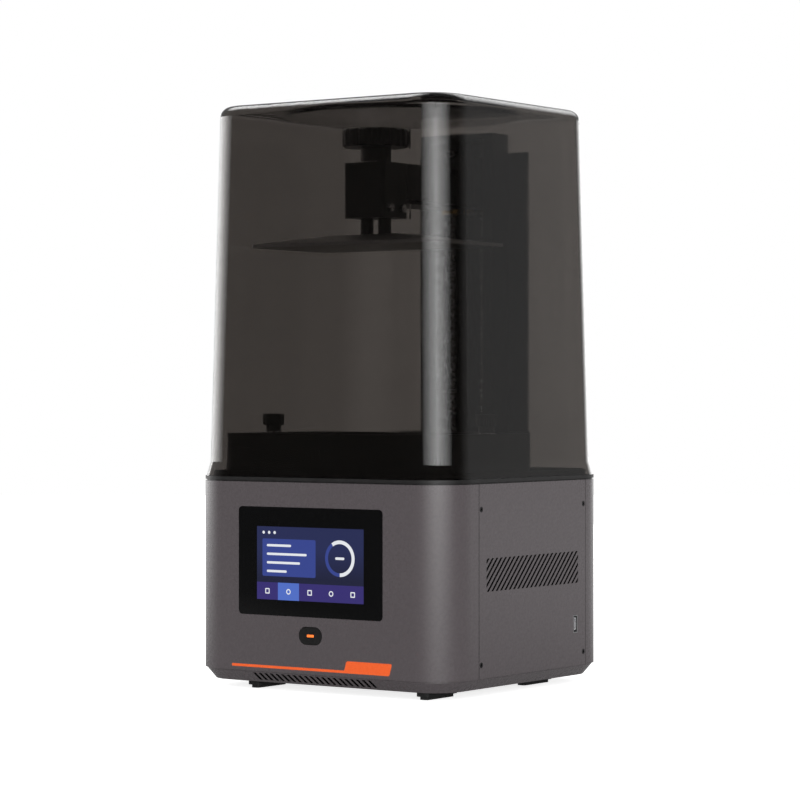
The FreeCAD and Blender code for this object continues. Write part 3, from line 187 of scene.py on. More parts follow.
def patch(tree, across, up, x, z, corner=0.0):
    """1 inside a rectangle with round corners between two bounds each way, and 0 outside."""
    reach = []
    for value, (low, high) in ((across, x), (up, z)):
        off = work_out(tree, "SUBTRACT", value, (low + high) / 2)
        from_middle = work_out(tree, "ABSOLUTE", off)
        past = work_out(tree, "SUBTRACT", from_middle, (high - low) / 2 - corner)
        reach.append(work_out(tree, "MAXIMUM", past, 0.0))
    squared = [work_out(tree, "MULTIPLY", side, side) for side in reach]
    away = work_out(tree, "SQRT", work_out(tree, "ADD", *squared))
    return work_out(tree, "LESS_THAN", away, corner + HAIR)


def either(tree, first, second):
    """The larger of two values."""
    return work_out(tree, "MAXIMUM", first, second)


def painted_over(tree, mask, under, colour):
    """A colour laid over another where a mask is 1."""
    mixed = tree.nodes.new("ShaderNodeMix")
    mixed.data_type = "RGBA"
    tree.links.new(mask, mixed.inputs["Factor"])
    tree.links.new(under, mixed.inputs["A"])
    mixed.inputs["B"].default_value = (*colour, 1)
    return mixed.outputs["Result"]


def split_place(tree):
    """The three coordinates of a point on the piece."""
    parts = tree.nodes.new("ShaderNodeSeparateXYZ")
    tree.links.new(place_in(tree), parts.inputs["Vector"])
    return parts.outputs["X"], parts.outputs["Y"], parts.outputs["Z"]


def grey_paint(name):
    """The grey powder coat alone."""
    return plain_finish(
        name, PAINT_DARK, PAINT_LIGHT, PAINT_GLOSS, PEEL_MM, PEEL_DEPTH_MM, PEEL_STRENGTH
    )


def paint_with(name, mark):
    """The grey paint with a colour laid over it where a mask says so."""
    made = grey_paint(name)
    tree = made.node_tree
    tone = tree.nodes["Principled BSDF"].inputs["Base Color"]
    mask, colour = mark(tree)
    tree.links.new(painted_over(tree, mask, tone.links[0].from_socket, colour), tone)
    return made


def painted_slot_and_seam_shade(tree):
    """Painted shade on the walls of the side slots, behind the painted face, and a painted shadow
    along the panel's seams.
    """
    x, y, z = split_place(tree)
    behind = work_out(tree, "LESS_THAN", work_out(tree, "ABSOLUTE", x), cad_high.x - SLOT_SKIN)
    between = patch(tree, y, y, *[(panel_low.y + SEAM_EDGE, panel_high.y - SEAM_EDGE)] * 2)
    return either(tree, behind, work_out(tree, "SUBTRACT", 1.0, between)), PAINTED_SLOT_SHADE


def painted_rim_slot_shade(tree):
    """Painted shade on the walls of the slots in the pan's bevelled front rim."""
    x, y, z = split_place(tree)
    below = work_out(tree, "SUBTRACT", pan_high.z - PAN_NECK, z)
    below_neck = work_out(tree, "MAXIMUM", below, 0.0)
    sloped = work_out(tree, "MULTIPLY", below_neck, PAN_SLOPE)
    depth = work_out(tree, "SUBTRACT", work_out(tree, "SUBTRACT", y, pan_low.y), sloped)
    across = (-RIM_SLOTS_REACH, RIM_SLOTS_REACH)
    behind = patch(tree, x, depth, across, (SLOT_SKIN, RIM_SLOT_DEPTH))
    return behind, PAINTED_SLOT_SHADE


def stripe_and_tab(tree):
    """The printed stripe and its slanted tab on the front."""
    x, y, z = split_place(tree)
    lean = work_out(tree, "MULTIPLY", work_out(tree, "SUBTRACT", z, STRIPE_LOW), TAB_LEAN)
    stripe = patch(tree, x, z, (STRIPE_LEFT, STRIPE_RIGHT), (STRIPE_LOW, STRIPE_HIGH))
    leaning = work_out(tree, "SUBTRACT", x, lean)
    tab = patch(tree, leaning, z, (TAB_LEFT, TAB_RIGHT), (STRIPE_LOW, TAB_TOP), TAB_CORNER)
    on_front = work_out(tree, "LESS_THAN", y, cad_low.y + PRINT_SKIN)
    return work_out(tree, "MULTIPLY", either(tree, stripe, tab), on_front), PRINT_ORANGE


pan_low, pan_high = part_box("bottom_pan")
panel_low, panel_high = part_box("right_side_panel")
wear(grey_paint("shell_paint"), "rear_shell")
# The side panels carry painted shade in their slots and a painted shadow along their seams.
wear(paint_with("panel_paint", painted_slot_and_seam_shade), "left_side_panel", "right_side_panel")
# The pan carries painted shade on the walls of its rim slots.
wear(paint_with("pan_paint", painted_rim_slot_shade), "bottom_pan")
wear(paint_with("front_paint", stripe_and_tab), "front_shell")

# Panel screws: eight small screws of blackened steel, turned with a chamfered head and a
# broached hex socket. They hold the side panels and sit flush in them.
SCREW_INSET, SCREW_LOW, SCREW_HIGH = 2.95 * MM, 9.6 * MM, 119.4 * MM
SCREW_RADIUS, SCREW_CHAMFER, SCREW_DEPTH = 1.9 * MM, 0.3 * MM, 1.4 * MM
SOCKET_RADIUS, SOCKET_DEPTH = 1.0 * MM, 0.9 * MM
ROUND = 24


def new_piece(name, form, finish, smooth_below=40):
    """An object from a finished bmesh, smooth apart from its sharp edges."""
    mesh = bpy.data.meshes.new(name)
    bmesh.ops.recalc_face_normals(form, faces=form.faces)
    form.to_mesh(mesh)
    form.free()
    mesh.materials.append(finish)
    piece = bpy.data.objects.new(name, mesh)
    bpy.context.scene.collection.objects.link(piece)
    mesh.polygons.foreach_set("use_smooth", [True] * len(mesh.polygons))
    mesh.set_sharp_from_angle(angle=math.radians(smooth_below))
    return piece


def skin(form, rings):
    """Faces between rings of equally many points, with both ends capped."""
    rows = [[form.verts.new(point) for point in ring] for ring in rings]
    for lower, upper in zip(rows, rows[1:]):
        count = len(lower)
        for index in range(count):
            after = (index + 1) % count
            form.faces.new((lower[index], lower[after], upper[after], upper[index]))
    form.faces.new(rows[0])
    form.faces.new(rows[-1])


def hexagon_reach(angle):
    """How far a hexagon of radius 1 reaches at an angle."""
    sixth = math.pi / 3
    return math.cos(sixth / 2) / math.cos((angle + sixth / 2) % sixth - sixth / 2)


def screw_ring(side, row, height, depth, radius, reach=lambda angle: 1):
    """A ring around one screw's axis, at a depth below the panel's face."""
    points = []
    for index in range(ROUND):
        angle = 2 * math.pi * index / ROUND
        out = radius * reach(angle)
        across, up = row + out * math.cos(angle), height + out * math.sin(angle)
        points.append(Vector((side * (cad_high.x - depth), across, up)))
    return points


screw_form = bmesh.new()
for side in (1, -1):
    for row in (panel_low.y + SCREW_INSET, panel_high.y - SCREW_INSET):
        for height in (panel_low.z + SCREW_LOW, panel_low.z + SCREW_HIGH):
            spot = (side, row, height)
            rings = [
                screw_ring(*spot, SCREW_DEPTH, SCREW_RADIUS),
                screw_ring(*spot, SCREW_CHAMFER, SCREW_RADIUS),
                screw_ring(*spot, 0, SCREW_RADIUS - SCREW_CHAMFER),
                screw_ring(*spot, 0, SOCKET_RADIUS, hexagon_reach),
                screw_ring(*spot, SOCKET_DEPTH, SOCKET_RADIUS, hexagon_reach),
            ]
            skin(screw_form, rings)
blackened_steel = plain_finish(
    "blackened_steel", (0.02, 0.02, 0.021), (0.035, 0.035, 0.036), (0.3, 0.4), 0.4, metal=0.8
)
screws = new_piece("panel_screw_heads", screw_form, blackened_steel)
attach(screws, "base")
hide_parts("panel_screws")

# Deck plate: the black moulded top of the base, with a raised lip that centres the cover.
# Satin plastic with a fine spark-eroded grain.
deck_black = plain_finish(
    "deck_black", (0.010, 0.0095, 0.0095), (0.016, 0.015, 0.015), (0.42, 0.55), 0.35, 0.03
)
wear(deck_black, "deck_plate")

# Touchscreen: one sheet of black-edged glass, flush in the front shell, with a display bonded
# behind it. The lit picture is a plain control page: a panel of bars, a ring and a row of tiles.
LIT_X = (-50.9 * MM, 44.5 * MM)
LIT_Z = (66.3 * MM, 119.1 * MM)
NAVY_LOW, NAVY_HIGH = (0.0150, 0.0170, 0.044), (0.0215, 0.027, 0.088)
BAR_BLUE, TILE_PURPLE = (0.040, 0.062, 0.270), (0.040, 0.030, 0.165)
TILE_LIT, MARK_WHITE = (0.085, 0.160, 0.560), (0.80, 0.82, 0.86)
screen_finish, tree, shader = new_finish("screen_glass")
shader.inputs["Base Color"].default_value = (0.0035, 0.0035, 0.0037, 1)
shader.inputs["Coat Weight"].default_value = 0.6
shader.inputs["Coat Roughness"].default_value = 0.04
tree.links.new(spread(tree, speckle(tree, 30), 0.07, 0.13), shader.inputs["Roughness"])
x, y, z = split_place(tree)
rise = work_out(tree, "DIVIDE", work_out(tree, "SUBTRACT", z, LIT_Z[0]), LIT_Z[1] - LIT_Z[0])
picture = tone_between(tree, rise, NAVY_LOW, NAVY_HIGH)


def screen_span(low_mm, high_mm, start):
    """Bounds measured in millimetres from one edge of the lit area."""
    return (start + low_mm * MM, start + high_mm * MM)


def show(picture, left, right, low, high, colour, corner_mm=0.8):
    """Draws one flat shape, measured from the lit area's lower left corner."""
    across = screen_span(left, right, LIT_X[0])
    up = screen_span(low, high, LIT_Z[0])
    mask = patch(tree, x, z, across, up, corner_mm * MM)
    return painted_over(tree, mask, picture, colour)


LIT_WIDTH = 95.4
TILE_COUNT, TILE_PITCH, TILE_TOP = 5, 19.08, 12.5
GLYPH_UP, GLYPH_HALF, HOLE_HALF = 6.2, 2.0, 1.2
picture = show(picture, 0, LIT_WIDTH, 0, TILE_TOP, TILE_PURPLE, 0)
for index in range(TILE_COUNT):
    middle = (index + 0.5) * TILE_PITCH
    chosen, is_round = index == 1, index % 2
    if chosen:
        left, right = middle - TILE_PITCH / 2, middle + TILE_PITCH / 2
        picture = show(picture, left, right, 0, TILE_TOP, TILE_LIT, 0)
    under = TILE_LIT if chosen else TILE_PURPLE
    for half, colour, corner in (
        (GLYPH_HALF, MARK_WHITE, 2 if is_round else 0.6),
        (HOLE_HALF, under, 1.2 if is_round else 0.3),
    ):
        low, high = GLYPH_UP - half, GLYPH_UP + half
        picture = show(picture, middle - half, middle + half, low, high, colour, corner)
BAR_LENGTHS = (22, 36, 30, 18)
BAR_LEFT, BAR_FIRST, BAR_PITCH, BAR_THICK = 9, 38.4, 6.2, 1.7
PANEL = (5, 53, 17, 44)
picture = show(picture, *PANEL, BAR_BLUE, 1.2)
for index, length in enumerate(BAR_LENGTHS):
    low = BAR_FIRST - index * BAR_PITCH
    picture = show(picture, BAR_LEFT, BAR_LEFT + length, low, low + BAR_THICK, MARK_WHITE)
DOT_COUNT, DOT_PITCH, DOT_SIDE, DOT_LOW = 3, 5, 2.2, 47.4
for index in range(DOT_COUNT):
    left = DOT_PITCH * (index + 1)
    high = DOT_LOW + DOT_SIDE
    picture = show(picture, left, left + DOT_SIDE, DOT_LOW, high, MARK_WHITE, DOT_SIDE / 2)
RING_X, RING_Z = LIT_X[0] + 74.5 * MM, LIT_Z[0] + 31.5 * MM
RING_OUTER, RING_INNER = 13 * MM, 10.4 * MM
RING_START = -0.6
RING_DASH = (70.5, 78.5, 30.6, 32.4)
side_x = work_out(tree, "SUBTRACT", x, RING_X)
side_z = work_out(tree, "SUBTRACT", z, RING_Z)
squares = [work_out(tree, "MULTIPLY", side, side) for side in (side_x, side_z)]
from_ring = work_out(tree, "SQRT", work_out(tree, "ADD", *squares))
in_outer = work_out(tree, "LESS_THAN", from_ring, RING_OUTER)
past_inner = work_out(tree, "GREATER_THAN", from_ring, RING_INNER)
ring_mask = work_out(tree, "MULTIPLY", in_outer, past_inner)
picture = painted_over(tree, ring_mask, picture, BAR_BLUE)
turn = work_out(tree, "ARCTAN2", side_x, side_z)
past_start = work_out(tree, "GREATER_THAN", turn, RING_START)
done_mask = work_out(tree, "MULTIPLY", ring_mask, past_start)
picture = painted_over(tree, done_mask, picture, MARK_WHITE)
picture = show(picture, *RING_DASH, MARK_WHITE)
tree.links.new(picture, shader.inputs["Emission Color"])
tree.links.new(patch(tree, x, z, LIT_X, LIT_Z), shader.inputs["Emission Strength"])
wear(screen_finish, "screen_glass")
display_finish = plain_finish(
    "display", (0.02, 0.022, 0.03), (0.03, 0.033, 0.045), (0.2, 0.3), 1.0
)
wear(display_finish, "touch_display")

# Power button: a black moulded cap in satin plastic that springs back on its small board.
# A dash of orange light shows through a slot in its face.
button_black = plain_finish(
    "button_black", (0.0065, 0.006, 0.006), (0.009, 0.0085, 0.0085), (0.38, 0.5), 0.3
)
wear(button_black, "power_button")
dash_light, tree, shader = new_finish("dash_light")
shader.inputs["Base Color"].default_value = (0.9, 0.2, 0.03, 1)
shader.inputs["Roughness"].default_value = 0.3
shader.inputs["Emission Strength"].default_value = 0.8
orange_glow = tone_between(tree, speckle(tree, 3), (0.80, 0.11, 0.012), (0.95, 0.15, 0.02))
tree.links.new(orange_glow, shader.inputs["Emission Color"])
wear(dash_light, "button_light")

# Sockets: a USB shell of bright folded steel with a black tongue, soldered to the main board
# behind the side panel, and a black moulded power jack at the back. The USB mouth is painted
# dark all over: partly the black tongue, partly painted shade in the hollow around it.
USB_WALL = 0.8 * MM
usb_low, usb_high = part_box("usb_socket")
usb_steel, tree, shader = new_finish("usb_steel")
x, y, z = split_place(tree)
mouth_across = (usb_low.y + USB_WALL, usb_high.y - USB_WALL)
mouth_up = (usb_low.z + USB_WALL, usb_high.z - USB_WALL)
# Dark mouth: the black tongue and painted shade in the hollow.
mouth_tongue_and_shade = patch(tree, y, z, mouth_across, mouth_up)
steel_tone = tone_between(tree, speckle(tree, 2), (0.62, 0.62, 0.63), (0.75, 0.75, 0.76))
usb_tone = painted_over(tree, mouth_tongue_and_shade, steel_tone, (0.06, 0.06, 0.062))
tree.links.new(usb_tone, shader.inputs["Base Color"])
tree.links.new(work_out(tree, "SUBTRACT", 1.0, mouth_tongue_and_shade), shader.inputs["Metallic"])
tree.links.new(spread(tree, speckle(tree, 1), 0.25, 0.38), shader.inputs["Roughness"])
wear(usb_steel, "usb_socket")
moulded_black = plain_finish(
    "moulded_black", (0.010, 0.010, 0.011), (0.017, 0.017, 0.018), (0.45, 0.6), 0.4
)
wear(moulded_black, "power_inlet", "limit_sensor", "fan_frame", "fan_rotor", "mainboard_parts")

# Circuit boards: glass fibre boards screwed inside the case, under green solder mask.
# The copper tracks below the mask show as lighter lines.
TRACK_FIELD_MM = 12
board_green, tree, shader = new_finish("board_green")
tracks = tree.nodes.new("ShaderNodeTexBrick")
tracks.inputs["Scale"].default_value = 1 / (TRACK_FIELD_MM * MM)
tracks.inputs["Mortar Size"].default_value = 0.03
tracks.inputs["Color1"].default_value = (0.006, 0.060, 0.024, 1)
tracks.inputs["Color2"].default_value = (0.008, 0.075, 0.030, 1)
tracks.inputs["Mortar"].default_value = (0.03, 0.17, 0.06, 1)
tree.links.new(place_in(tree), tracks.inputs["Vector"])
tree.links.new(tracks.outputs["Color"], shader.inputs["Base Color"])
tree.links.new(spread(tree, speckle(tree, 4), 0.25, 0.4), shader.inputs["Roughness"])
roughen(tree, shader, tracks.outputs["Fac"], 0.03, 0.4)
wear(board_green, "display_board", "button_board", "mainboard")

# Sheet and ground steel: the board's bracket, the vat's film frame, washers and rails.
# Drawn or ground along their length, so the grain runs in streaks.
ground_steel = plain_finish(
    "ground_steel", (0.40, 0.40, 0.41), (0.54, 0.54, 0.55), (0.2, 0.32), 0.3,
    relief_mm=0.01, strength=0.2, metal=1.0, stretch=(1, 1, 0.04),
)
wear(ground_steel, "mainboard_bracket", "film_frame", "guide_rails", "rail_blocks")
wear(ground_steel, "knob_screw", "knob_washer", "levelling_screws")
wear(ground_steel, "right_thumb_washer", "left_thumb_washer")

# Light engine: a black hood over a lamp board with clear lenses, a finned heat sink and a fan,
# closed at the top by the exposure screen under its hard glass.
hood_black = plain_finish(
    "hood_black", (0.006, 0.006, 0.006), (0.011, 0.011, 0.011), (0.6, 0.75), 0.6, 0.04
)
wear(hood_black, "light_hood")
bare_aluminium = plain_finish(
    "bare_aluminium", (0.50, 0.50, 0.51), (0.64, 0.64, 0.65), (0.28, 0.4), 0.4,
    relief_mm=0.01, metal=1.0, stretch=(1, 0.05, 1),
)
wear(bare_aluminium, "heat_sink", "lamp_board")
lens_clear, tree, shader = new_finish("lens_clear")
shader.inputs["Base Color"].default_value = (0.9, 0.92, 0.94, 1)
shader.inputs["Transmission Weight"].default_value = 0.9
shader.inputs["IOR"].default_value = 1.49
tree.links.new(spread(tree, speckle(tree, 2), 0.02, 0.08), shader.inputs["Roughness"])
wear(lens_clear, "lamp_lenses")
CELL_MM = 1.2
exposure_black, tree, shader = new_finish("exposure_black")
cells = tree.nodes.new("ShaderNodeTexChecker")
cells.inputs["Scale"].default_value = 1 / (CELL_MM * MM)
cells.inputs["Color1"].default_value = (0.0065, 0.0065, 0.009, 1)
cells.inputs["Color2"].default_value = (0.0085, 0.0085, 0.012, 1)
tree.links.new(place_in(tree), cells.inputs["Vector"])
tree.links.new(cells.outputs["Color"], shader.inputs["Base Color"])
tree.links.new(spread(tree, speckle(tree, 25), 0.16, 0.24), shader.inputs["Roughness"])
wear(exposure_black, "exposure_screen", "exposure_glass")

# Vat: milled aluminium, black anodised, with a fine bead-blasted skin, and a clear film
# stretched under it. Light lines engraved in the basin's end walls mark the filling level.
LEVEL_MARKS = (8, 14, 20)
MARK_THICK = 0.7
MARK_END, MARK_FRONT, MARK_BACK = 13 * MM, -45 * MM, -17 * MM
vat_low, vat_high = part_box("vat")
vat_black = plain_finish(
    "vat_black", (0.0065, 0.0065, 0.007), (0.011, 0.011, 0.012), (0.32, 0.42), 0.25, 0.02
)
tree = vat_black.node_tree
shader = tree.nodes["Principled BSDF"]
x, y, z = split_place(tree)
tone = shader.inputs["Base Color"].links[0].from_socket
basin_across = (vat_low.x + MARK_END, vat_high.x - MARK_END)
inside = patch(tree, x, y, basin_across, (MARK_FRONT, MARK_BACK))
for level in LEVEL_MARKS:
    heights = (vat_low.z + level * MM, vat_low.z + (level + MARK_THICK) * MM)
    line = work_out(tree, "MULTIPLY", inside, patch(tree, z, z, heights, heights))
    tone = painted_over(tree, line, tone, (0.45, 0.45, 0.46))
tree.links.new(tone, shader.inputs["Base Color"])
wear(vat_black, "vat")
clear_film, tree, shader = new_finish("clear_film")
shader.inputs["Transmission Weight"].default_value = 1.0
shader.inputs["IOR"].default_value = 1.34
film_tone = tone_between(tree, speckle(tree, 20), (0.90, 0.91, 0.92), (0.95, 0.96, 0.97))
tree.links.new(film_tone, shader.inputs["Base Color"])
tree.links.new(spread(tree, speckle(tree, 8), 0.06, 0.12), shader.inputs["Roughness"])
wear(clear_film, "vat_film")

# Thumb screws: turned black knobs with a straight knurl, threaded shank below, one at each
# end of the vat. They clamp it to the deck.
KNURLS = 28
KNURL_DEPTH = 0.35 * MM
THUMB_SHANK, THUMB_NECK, THUMB_HEAD = 2.5 * MM, 5.75 * MM, 8.0 * MM
THUMB_ROUND, THUMB_CHAMFER, THUMB_HEIGHT = 0.8 * MM, 0.3 * MM, 8.7 * MM
THREAD_PITCH, THREAD_DEPTH, THREAD_LENGTH = 0.8 * MM, 0.3 * MM, 12 * MM
THREAD_OUTLINE = ((0.2, THREAD_DEPTH), (0.5, 0), (0.8, THREAD_DEPTH))
FINE_ROUND = KNURLS * 6
anodised_black = plain_finish(
    "anodised_black", (0.009, 0.009, 0.0095), (0.015, 0.015, 0.016), (0.3, 0.42), 0.25, 0.02
)


def turned_ring(centre, radius, height, knurl):
    """One ring of a turned piece, with a straight knurl of a given depth."""
    points = []
    for index in range(FINE_ROUND):
        angle = 2 * math.pi * index / FINE_ROUND
        out = radius - knurl * (0.5 - 0.5 * math.cos(KNURLS * angle))
        x, y = centre[0] + out * math.cos(angle), centre[1] + out * math.sin(angle)
        points.append(Vector((x, y, height)))
    return points


for hand, body in (("right", "right_thumb_screw"), ("left", "left_thumb_screw")):
    low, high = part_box(body)
    centre = ((low.x + high.x) / 2, (low.y + high.y) / 2)
    washer_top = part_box(f"{hand}_thumb_washer")[1].z
    neck_top = high.z - THUMB_HEIGHT
    profile = [(THUMB_SHANK - THREAD_DEPTH, low.z, 0)]
    thread_end = low.z + THREAD_LENGTH
    turns = int((thread_end - low.z) / THREAD_PITCH)
    for index in range(turns):
        start = low.z + index * THREAD_PITCH
        for share, depth in THREAD_OUTLINE:
            profile.append((THUMB_SHANK - depth, start + share * THREAD_PITCH, 0))
    profile += [
        (THUMB_SHANK, thread_end + THREAD_DEPTH, 0),
        (THUMB_SHANK, washer_top, 0),
        (THUMB_NECK - THUMB_CHAMFER, washer_top, 0),
        (THUMB_NECK, washer_top + THUMB_CHAMFER, 0),
        (THUMB_NECK, neck_top, 0),
        (THUMB_HEAD - THUMB_ROUND, neck_top, 0),
        (THUMB_HEAD, neck_top + THUMB_ROUND, KNURL_DEPTH),
        (THUMB_HEAD, high.z - THUMB_ROUND, KNURL_DEPTH),
        (THUMB_HEAD - THUMB_ROUND, high.z, 0),
    ]
    form = bmesh.new()
    rings = [turned_ring(centre, out, up, knurl) for out, up, knurl in profile]
    skin(form, rings)
    thumb = new_piece(f"{hand}_thumb_knob", form, anodised_black, 30)
    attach(thumb, body)
    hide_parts(body)

# Lift column: a folded steel channel on a foot bracket with a wide plate behind it and a cap.
# Black paint with a fine even texture.
column_black = plain_finish(
    "column_black", (0.0075, 0.0075, 0.008), (0.012, 0.012, 0.0125), (0.42, 0.55), 0.5, 0.03
)
wear(column_black, "column_channel", "column_cap", "column_back_plate", "column_foot")

# Lift motor: a stepper bolted under the deck below the column. Black cast end bells stand
# above and below a bare stack of steel laminations.
STACK_MARGIN = 9 * MM
motor_low, motor_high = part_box("lift_motor")
motor_finish = plain_finish(
    "motor_finish", (0.012, 0.012, 0.012), (0.02, 0.02, 0.02), (0.4, 0.5), 0.5
)
tree = motor_finish.node_tree
shader = tree.nodes["Principled BSDF"]
x, y, z = split_place(tree)
stack_span = (motor_low.z + STACK_MARGIN, motor_high.z - STACK_MARGIN)
stack = patch(tree, z, z, stack_span, stack_span)
bell_tone = shader.inputs["Base Color"].links[0].from_socket
tone = painted_over(tree, stack, bell_tone, (0.35, 0.35, 0.36))
tree.links.new(tone, shader.inputs["Base Color"])
tree.links.new(stack, shader.inputs["Metallic"])
wear(motor_finish, "lift_motor")

# Lead screw: a rolled steel screw of two starts and 4 mm lead, coupled to the motor below.
# It drives a turned brass nut in the carriage.
LEAD, STARTS = 4 * MM, 2
LEAD_ROOT = 3.1 * MM
LEAD_SIDES = 16
RINGS_PER_CREST = 8
CREST_HALF, FLANK = 0.15, 0.2
lead_low, lead_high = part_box("lead_screw")
lead_centre = ((lead_low.x + lead_high.x) / 2, (lead_low.y + lead_high.y) / 2)
lead_crest = (lead_high.x - lead_low.x) / 2
rings = []
step = LEAD / STARTS / RINGS_PER_CREST
count = int((lead_high.z - lead_low.z) / step)
for row in range(count + 1):
    height = lead_low.z + row * step
    points = []
    for index in range(LEAD_SIDES):
        angle = 2 * math.pi * index / LEAD_SIDES
        phase = (height / LEAD * STARTS - STARTS * angle / (2 * math.pi)) % 1
        flank = min(1, max(0, (abs(phase - 0.5) - CREST_HALF) / FLANK))
        out = lead_crest + (LEAD_ROOT - lead_crest) * flank
        across = lead_centre[0] + out * math.cos(angle)
        points.append(Vector((across, lead_centre[1] + out * math.sin(angle), height)))
    rings.append(points)
form = bmesh.new()
skin(form, rings)
lead_thread = new_piece("lead_thread", form, ground_steel, 50)
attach(lead_thread, "lead_screw")
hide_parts("lead_screw")
nut_brass = plain_finish(
    "nut_brass", (0.50, 0.33, 0.11), (0.62, 0.43, 0.17), (0.22, 0.34), 0.3, 0.01, 0.2, 1.0
)
wear(nut_brass, "lead_nut")

# Platform: carriage, arm, head, levelling block, posts and clamp knob in black anodised
# aluminium, over a build plate left bare and lapped on its face.
wear(anodised_black, "z_carriage", "platform_arm", "platform_head", "levelling_block")
wear(anodised_black, "platform_posts", "platform_knob")
plate_bare = plain_finish(
    "plate_bare", (0.42, 0.42, 0.43), (0.52, 0.52, 0.53), (0.38, 0.5), 0.3, 0.02, 0.3, 1.0
)
wear(plate_bare, "build_plate")

# Smoked cover: one moulding of tinted clear plastic, polished, with a flared foot that stands
# on the deck and a round dish in its roof.
SMOKE_TONE = (0.627, 0.610, 0.597)
SMOKE_DENSITY = 1150.0
smoked_plastic, tree, shader = new_finish("smoked_plastic")
shader.inputs["Transmission Weight"].default_value = 1.0
shader.inputs["IOR"].default_value = 1.5
clear_tone = tone_between(tree, speckle(tree, 60), (0.97, 0.97, 0.97), (1, 1, 1))
tree.links.new(clear_tone, shader.inputs["Base Color"])
tree.links.new(spread(tree, speckle(tree, 40), 0.03, 0.07), shader.inputs["Roughness"])
smoke = tree.nodes.new("ShaderNodeVolumeAbsorption")
smoke.inputs["Color"].default_value = (*SMOKE_TONE, 1)
smoke.inputs["Density"].default_value = SMOKE_DENSITY
tree.links.new(smoke.outputs["Volume"], tree.nodes["Material Output"].inputs["Volume"])
wear(smoked_plastic, "cover")

# Studio: a pale floor and a white backdrop behind, and a dim room in front of the printer.
# Two wide soft lights stand in a curve behind the camera, brightest where they meet, and a
# weaker one lights the back and the left.
CAMERA_TURN = math.radians(35.2)
BACKDROP = Vector((-math.sin(CAMERA_TURN), math.cos(CAMERA_TURN), 0))
FLOOR_RADIUS, FLOOR_SIDES = 4.0, 96
FLOOR_GLOW, FLOOR_MIRRORED = 0.8, (-0.35, 0.65, 0.0, 0.8)
FLOOR_DIM = (0.03, 0.03, 0.03)
ROOM_FILL, ROOM_MIRRORED = 0.75, (-0.25, 0.4, 0.01, 0.34)


def level_along(tree, place, axis, near, far, dim, bright):
    """A level that grows along an axis, from one value to another between two points."""
    along = tree.nodes.new("ShaderNodeVectorMath")
    along.operation = "DOT_PRODUCT"
    along.inputs[1].default_value = axis
    tree.links.new(place, along.inputs[0])
    ranged = tree.nodes.new("ShaderNodeMapRange")
    bounds = {"From Min": near, "From Max": far, "To Min": dim, "To Max": bright}
    for socket, value in bounds.items():
        ranged.inputs[socket].default_value = value
    tree.links.new(along.outputs["Value"], ranged.inputs["Value"])
    return ranged.outputs["Result"]


def seen_rays(tree):
    """1 for rays that see the studio straight or through glass, and 1 for mirrored rays."""
    rays = tree.nodes.new("ShaderNodeLightPath").outputs
    return either(tree, rays["Is Camera Ray"], rays["Is Transmission Ray"]), rays["Is Glossy Ray"]


floor_form = bmesh.new()
bmesh.ops.create_circle(floor_form, cap_ends=True, segments=FLOOR_SIDES, radius=FLOOR_RADIUS)
floor_finish, tree, shader = new_finish("floor_white")
shader.inputs["Roughness"].default_value = 0.9
shader.inputs["Specular IOR Level"].default_value = 0.0
shader.inputs["Emission Color"].default_value = (1, 1, 1, 1)
straight, glossy = seen_rays(tree)
mirrored = level_along(tree, place_in(tree), BACKDROP, *FLOOR_MIRRORED)
straight_glow = work_out(tree, "MULTIPLY", straight, FLOOR_GLOW)
glow = either(tree, straight_glow, work_out(tree, "MULTIPLY", glossy, mirrored))
tree.links.new(glow, shader.inputs["Emission Strength"])
floor_tone = tone_between(tree, speckle(tree, 300), (0.80, 0.80, 0.80), (0.84, 0.84, 0.84))
floor_tone = painted_over(tree, glossy, floor_tone, FLOOR_DIM)
tree.links.new(floor_tone, shader.inputs["Base Color"])
floor = new_piece("floor", floor_form, floor_finish)

world = bpy.data.worlds.new("studio")
bpy.context.scene.world = world
world.use_nodes = True
tree = world.node_tree
background = tree.nodes["Background"]
background.inputs["Color"].default_value = (1, 1, 1, 1)
straight, glossy = seen_rays(tree)
sky = tree.nodes.new("ShaderNodeTexCoord").outputs["Generated"]
LOW_BOXES = ((-92, 8, 42, 3.3), (192, 8, 30, 1.8))
HIGH_BOXES = ((-98, 55, 24, 6.5), (180, 38, 24, 3.0))
LOW_BOX_TOP = (0.13, 0.155, 1, 0)


def soft_box(turn, tilt, half, level):
    """A soft box as gloss shows it: where it stands, how wide it looks and how bright it is."""
    turn, tilt, half = math.radians(turn), math.radians(tilt), math.radians(half)
    flat = math.cos(tilt)
    axis = (math.sin(turn) * flat, -math.cos(turn) * flat, math.sin(tilt))
    return level_along(tree, sky, axis, math.cos(half), 1, 0, level)


room = level_along(tree, sky, BACKDROP, *ROOM_MIRRORED)
near_level = level_along(tree, sky, (0, 0, 1), *LOW_BOX_TOP)
for box in LOW_BOXES:
    low_box = work_out(tree, "MULTIPLY", near_level, soft_box(*box))
    room = work_out(tree, "ADD", room, low_box)
for box in HIGH_BOXES:
    room = work_out(tree, "ADD", room, soft_box(*box))
mirrored = work_out(tree, "MULTIPLY", glossy, room)
unseen = work_out(tree, "SUBTRACT", 1.0, either(tree, straight, glossy))
others = work_out(tree, "MULTIPLY", unseen, ROOM_FILL)
strength = either(tree, either(tree, straight, mirrored), others)
tree.links.new(strength, background.inputs["Strength"])

LIGHT_DISTANCE = 2.6
FRONT_TURN, FRONT_APART = math.radians(44), math.radians(20)
FRONT_AXIS = Vector((math.sin(FRONT_TURN), -math.cos(FRONT_TURN), 0))
FRONT_FADE = (2.12, 2.77, 0.05, 1.0)
FRONT_SHAPE, BACK_SHAPE = (0.32, 1.9, 1.0, 39), (0.8, 2.4, 1.2, 45)
BACK_TURN = math.radians(220)


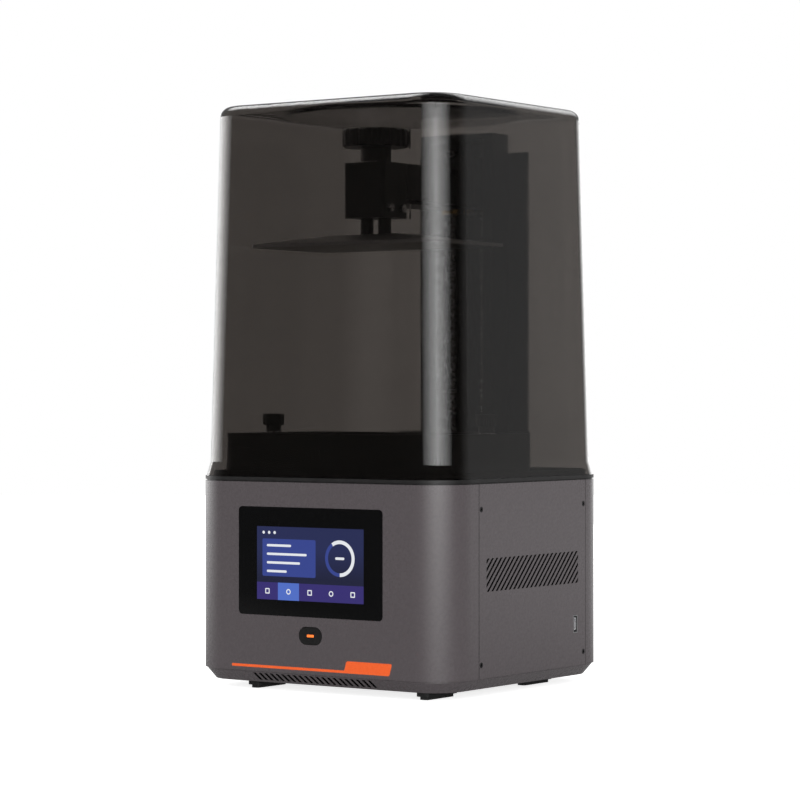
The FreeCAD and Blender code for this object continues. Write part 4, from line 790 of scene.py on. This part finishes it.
def soft_light(name, turn, height, wide, tall, power):
    """A rectangular soft light that faces the printer from one side."""
    lamp = bpy.data.lights.new(name, "AREA")
    lamp.shape = "RECTANGLE"
    lamp.size = wide
    lamp.size_y = tall
    lamp.energy = power
    holder = bpy.data.objects.new(name, lamp)
    holder.location = (LIGHT_DISTANCE * math.sin(turn), -LIGHT_DISTANCE * math.cos(turn), height)
    aim = Vector((0, 0, height)) - holder.location
    holder.rotation_euler = aim.to_track_quat("-Z", "Y").to_euler()
    holder.visible_camera = False
    holder.visible_transmission = False
    bpy.context.scene.collection.objects.link(holder)
    return holder


for side, name in ((-1, "front_light_left"), (1, "front_light_right")):
    half = soft_light(name, FRONT_TURN + side * FRONT_APART, *FRONT_SHAPE)
    half.data.use_nodes = True
    tree = half.data.node_tree
    spot = tree.nodes.new("ShaderNodeNewGeometry").outputs["Position"]
    fade = level_along(tree, spot, FRONT_AXIS, *FRONT_FADE)
    tree.links.new(fade, tree.nodes["Emission"].inputs["Strength"])
soft_light("back_light", BACK_TURN, *BACK_SHAPE).visible_glossy = False

# Camera: level, to the printer's front right, as the photograph was taken. Its distance,
# focal length and horizon were fitted to the straight edges of the case.
CAMERA_DISTANCE, CAMERA_OFFSET, CAMERA_HEIGHT = 2.1686, 0.00076, 0.21536
PICTURE_SIDE, FOCAL_PIXELS, HORIZON_ROW = 800, 2908.34, 393.24
camera = bpy.data.cameras.new("camera")
camera.sensor_width = 36
camera.lens = FOCAL_PIXELS * camera.sensor_width / PICTURE_SIDE
camera.shift_y = (HORIZON_ROW - PICTURE_SIDE / 2) / PICTURE_SIDE
viewer = bpy.data.objects.new("camera", camera)
viewer.location = (
    CAMERA_DISTANCE * math.sin(CAMERA_TURN) - CAMERA_OFFSET * math.cos(CAMERA_TURN),
    -CAMERA_DISTANCE * math.cos(CAMERA_TURN) - CAMERA_OFFSET * math.sin(CAMERA_TURN),
    CAMERA_HEIGHT,
)
viewer.rotation_euler = (math.pi / 2, 0, CAMERA_TURN)
bpy.context.scene.collection.objects.link(viewer)
bpy.context.scene.camera = viewer
bpy.context.scene.view_settings.view_transform = "Standard"
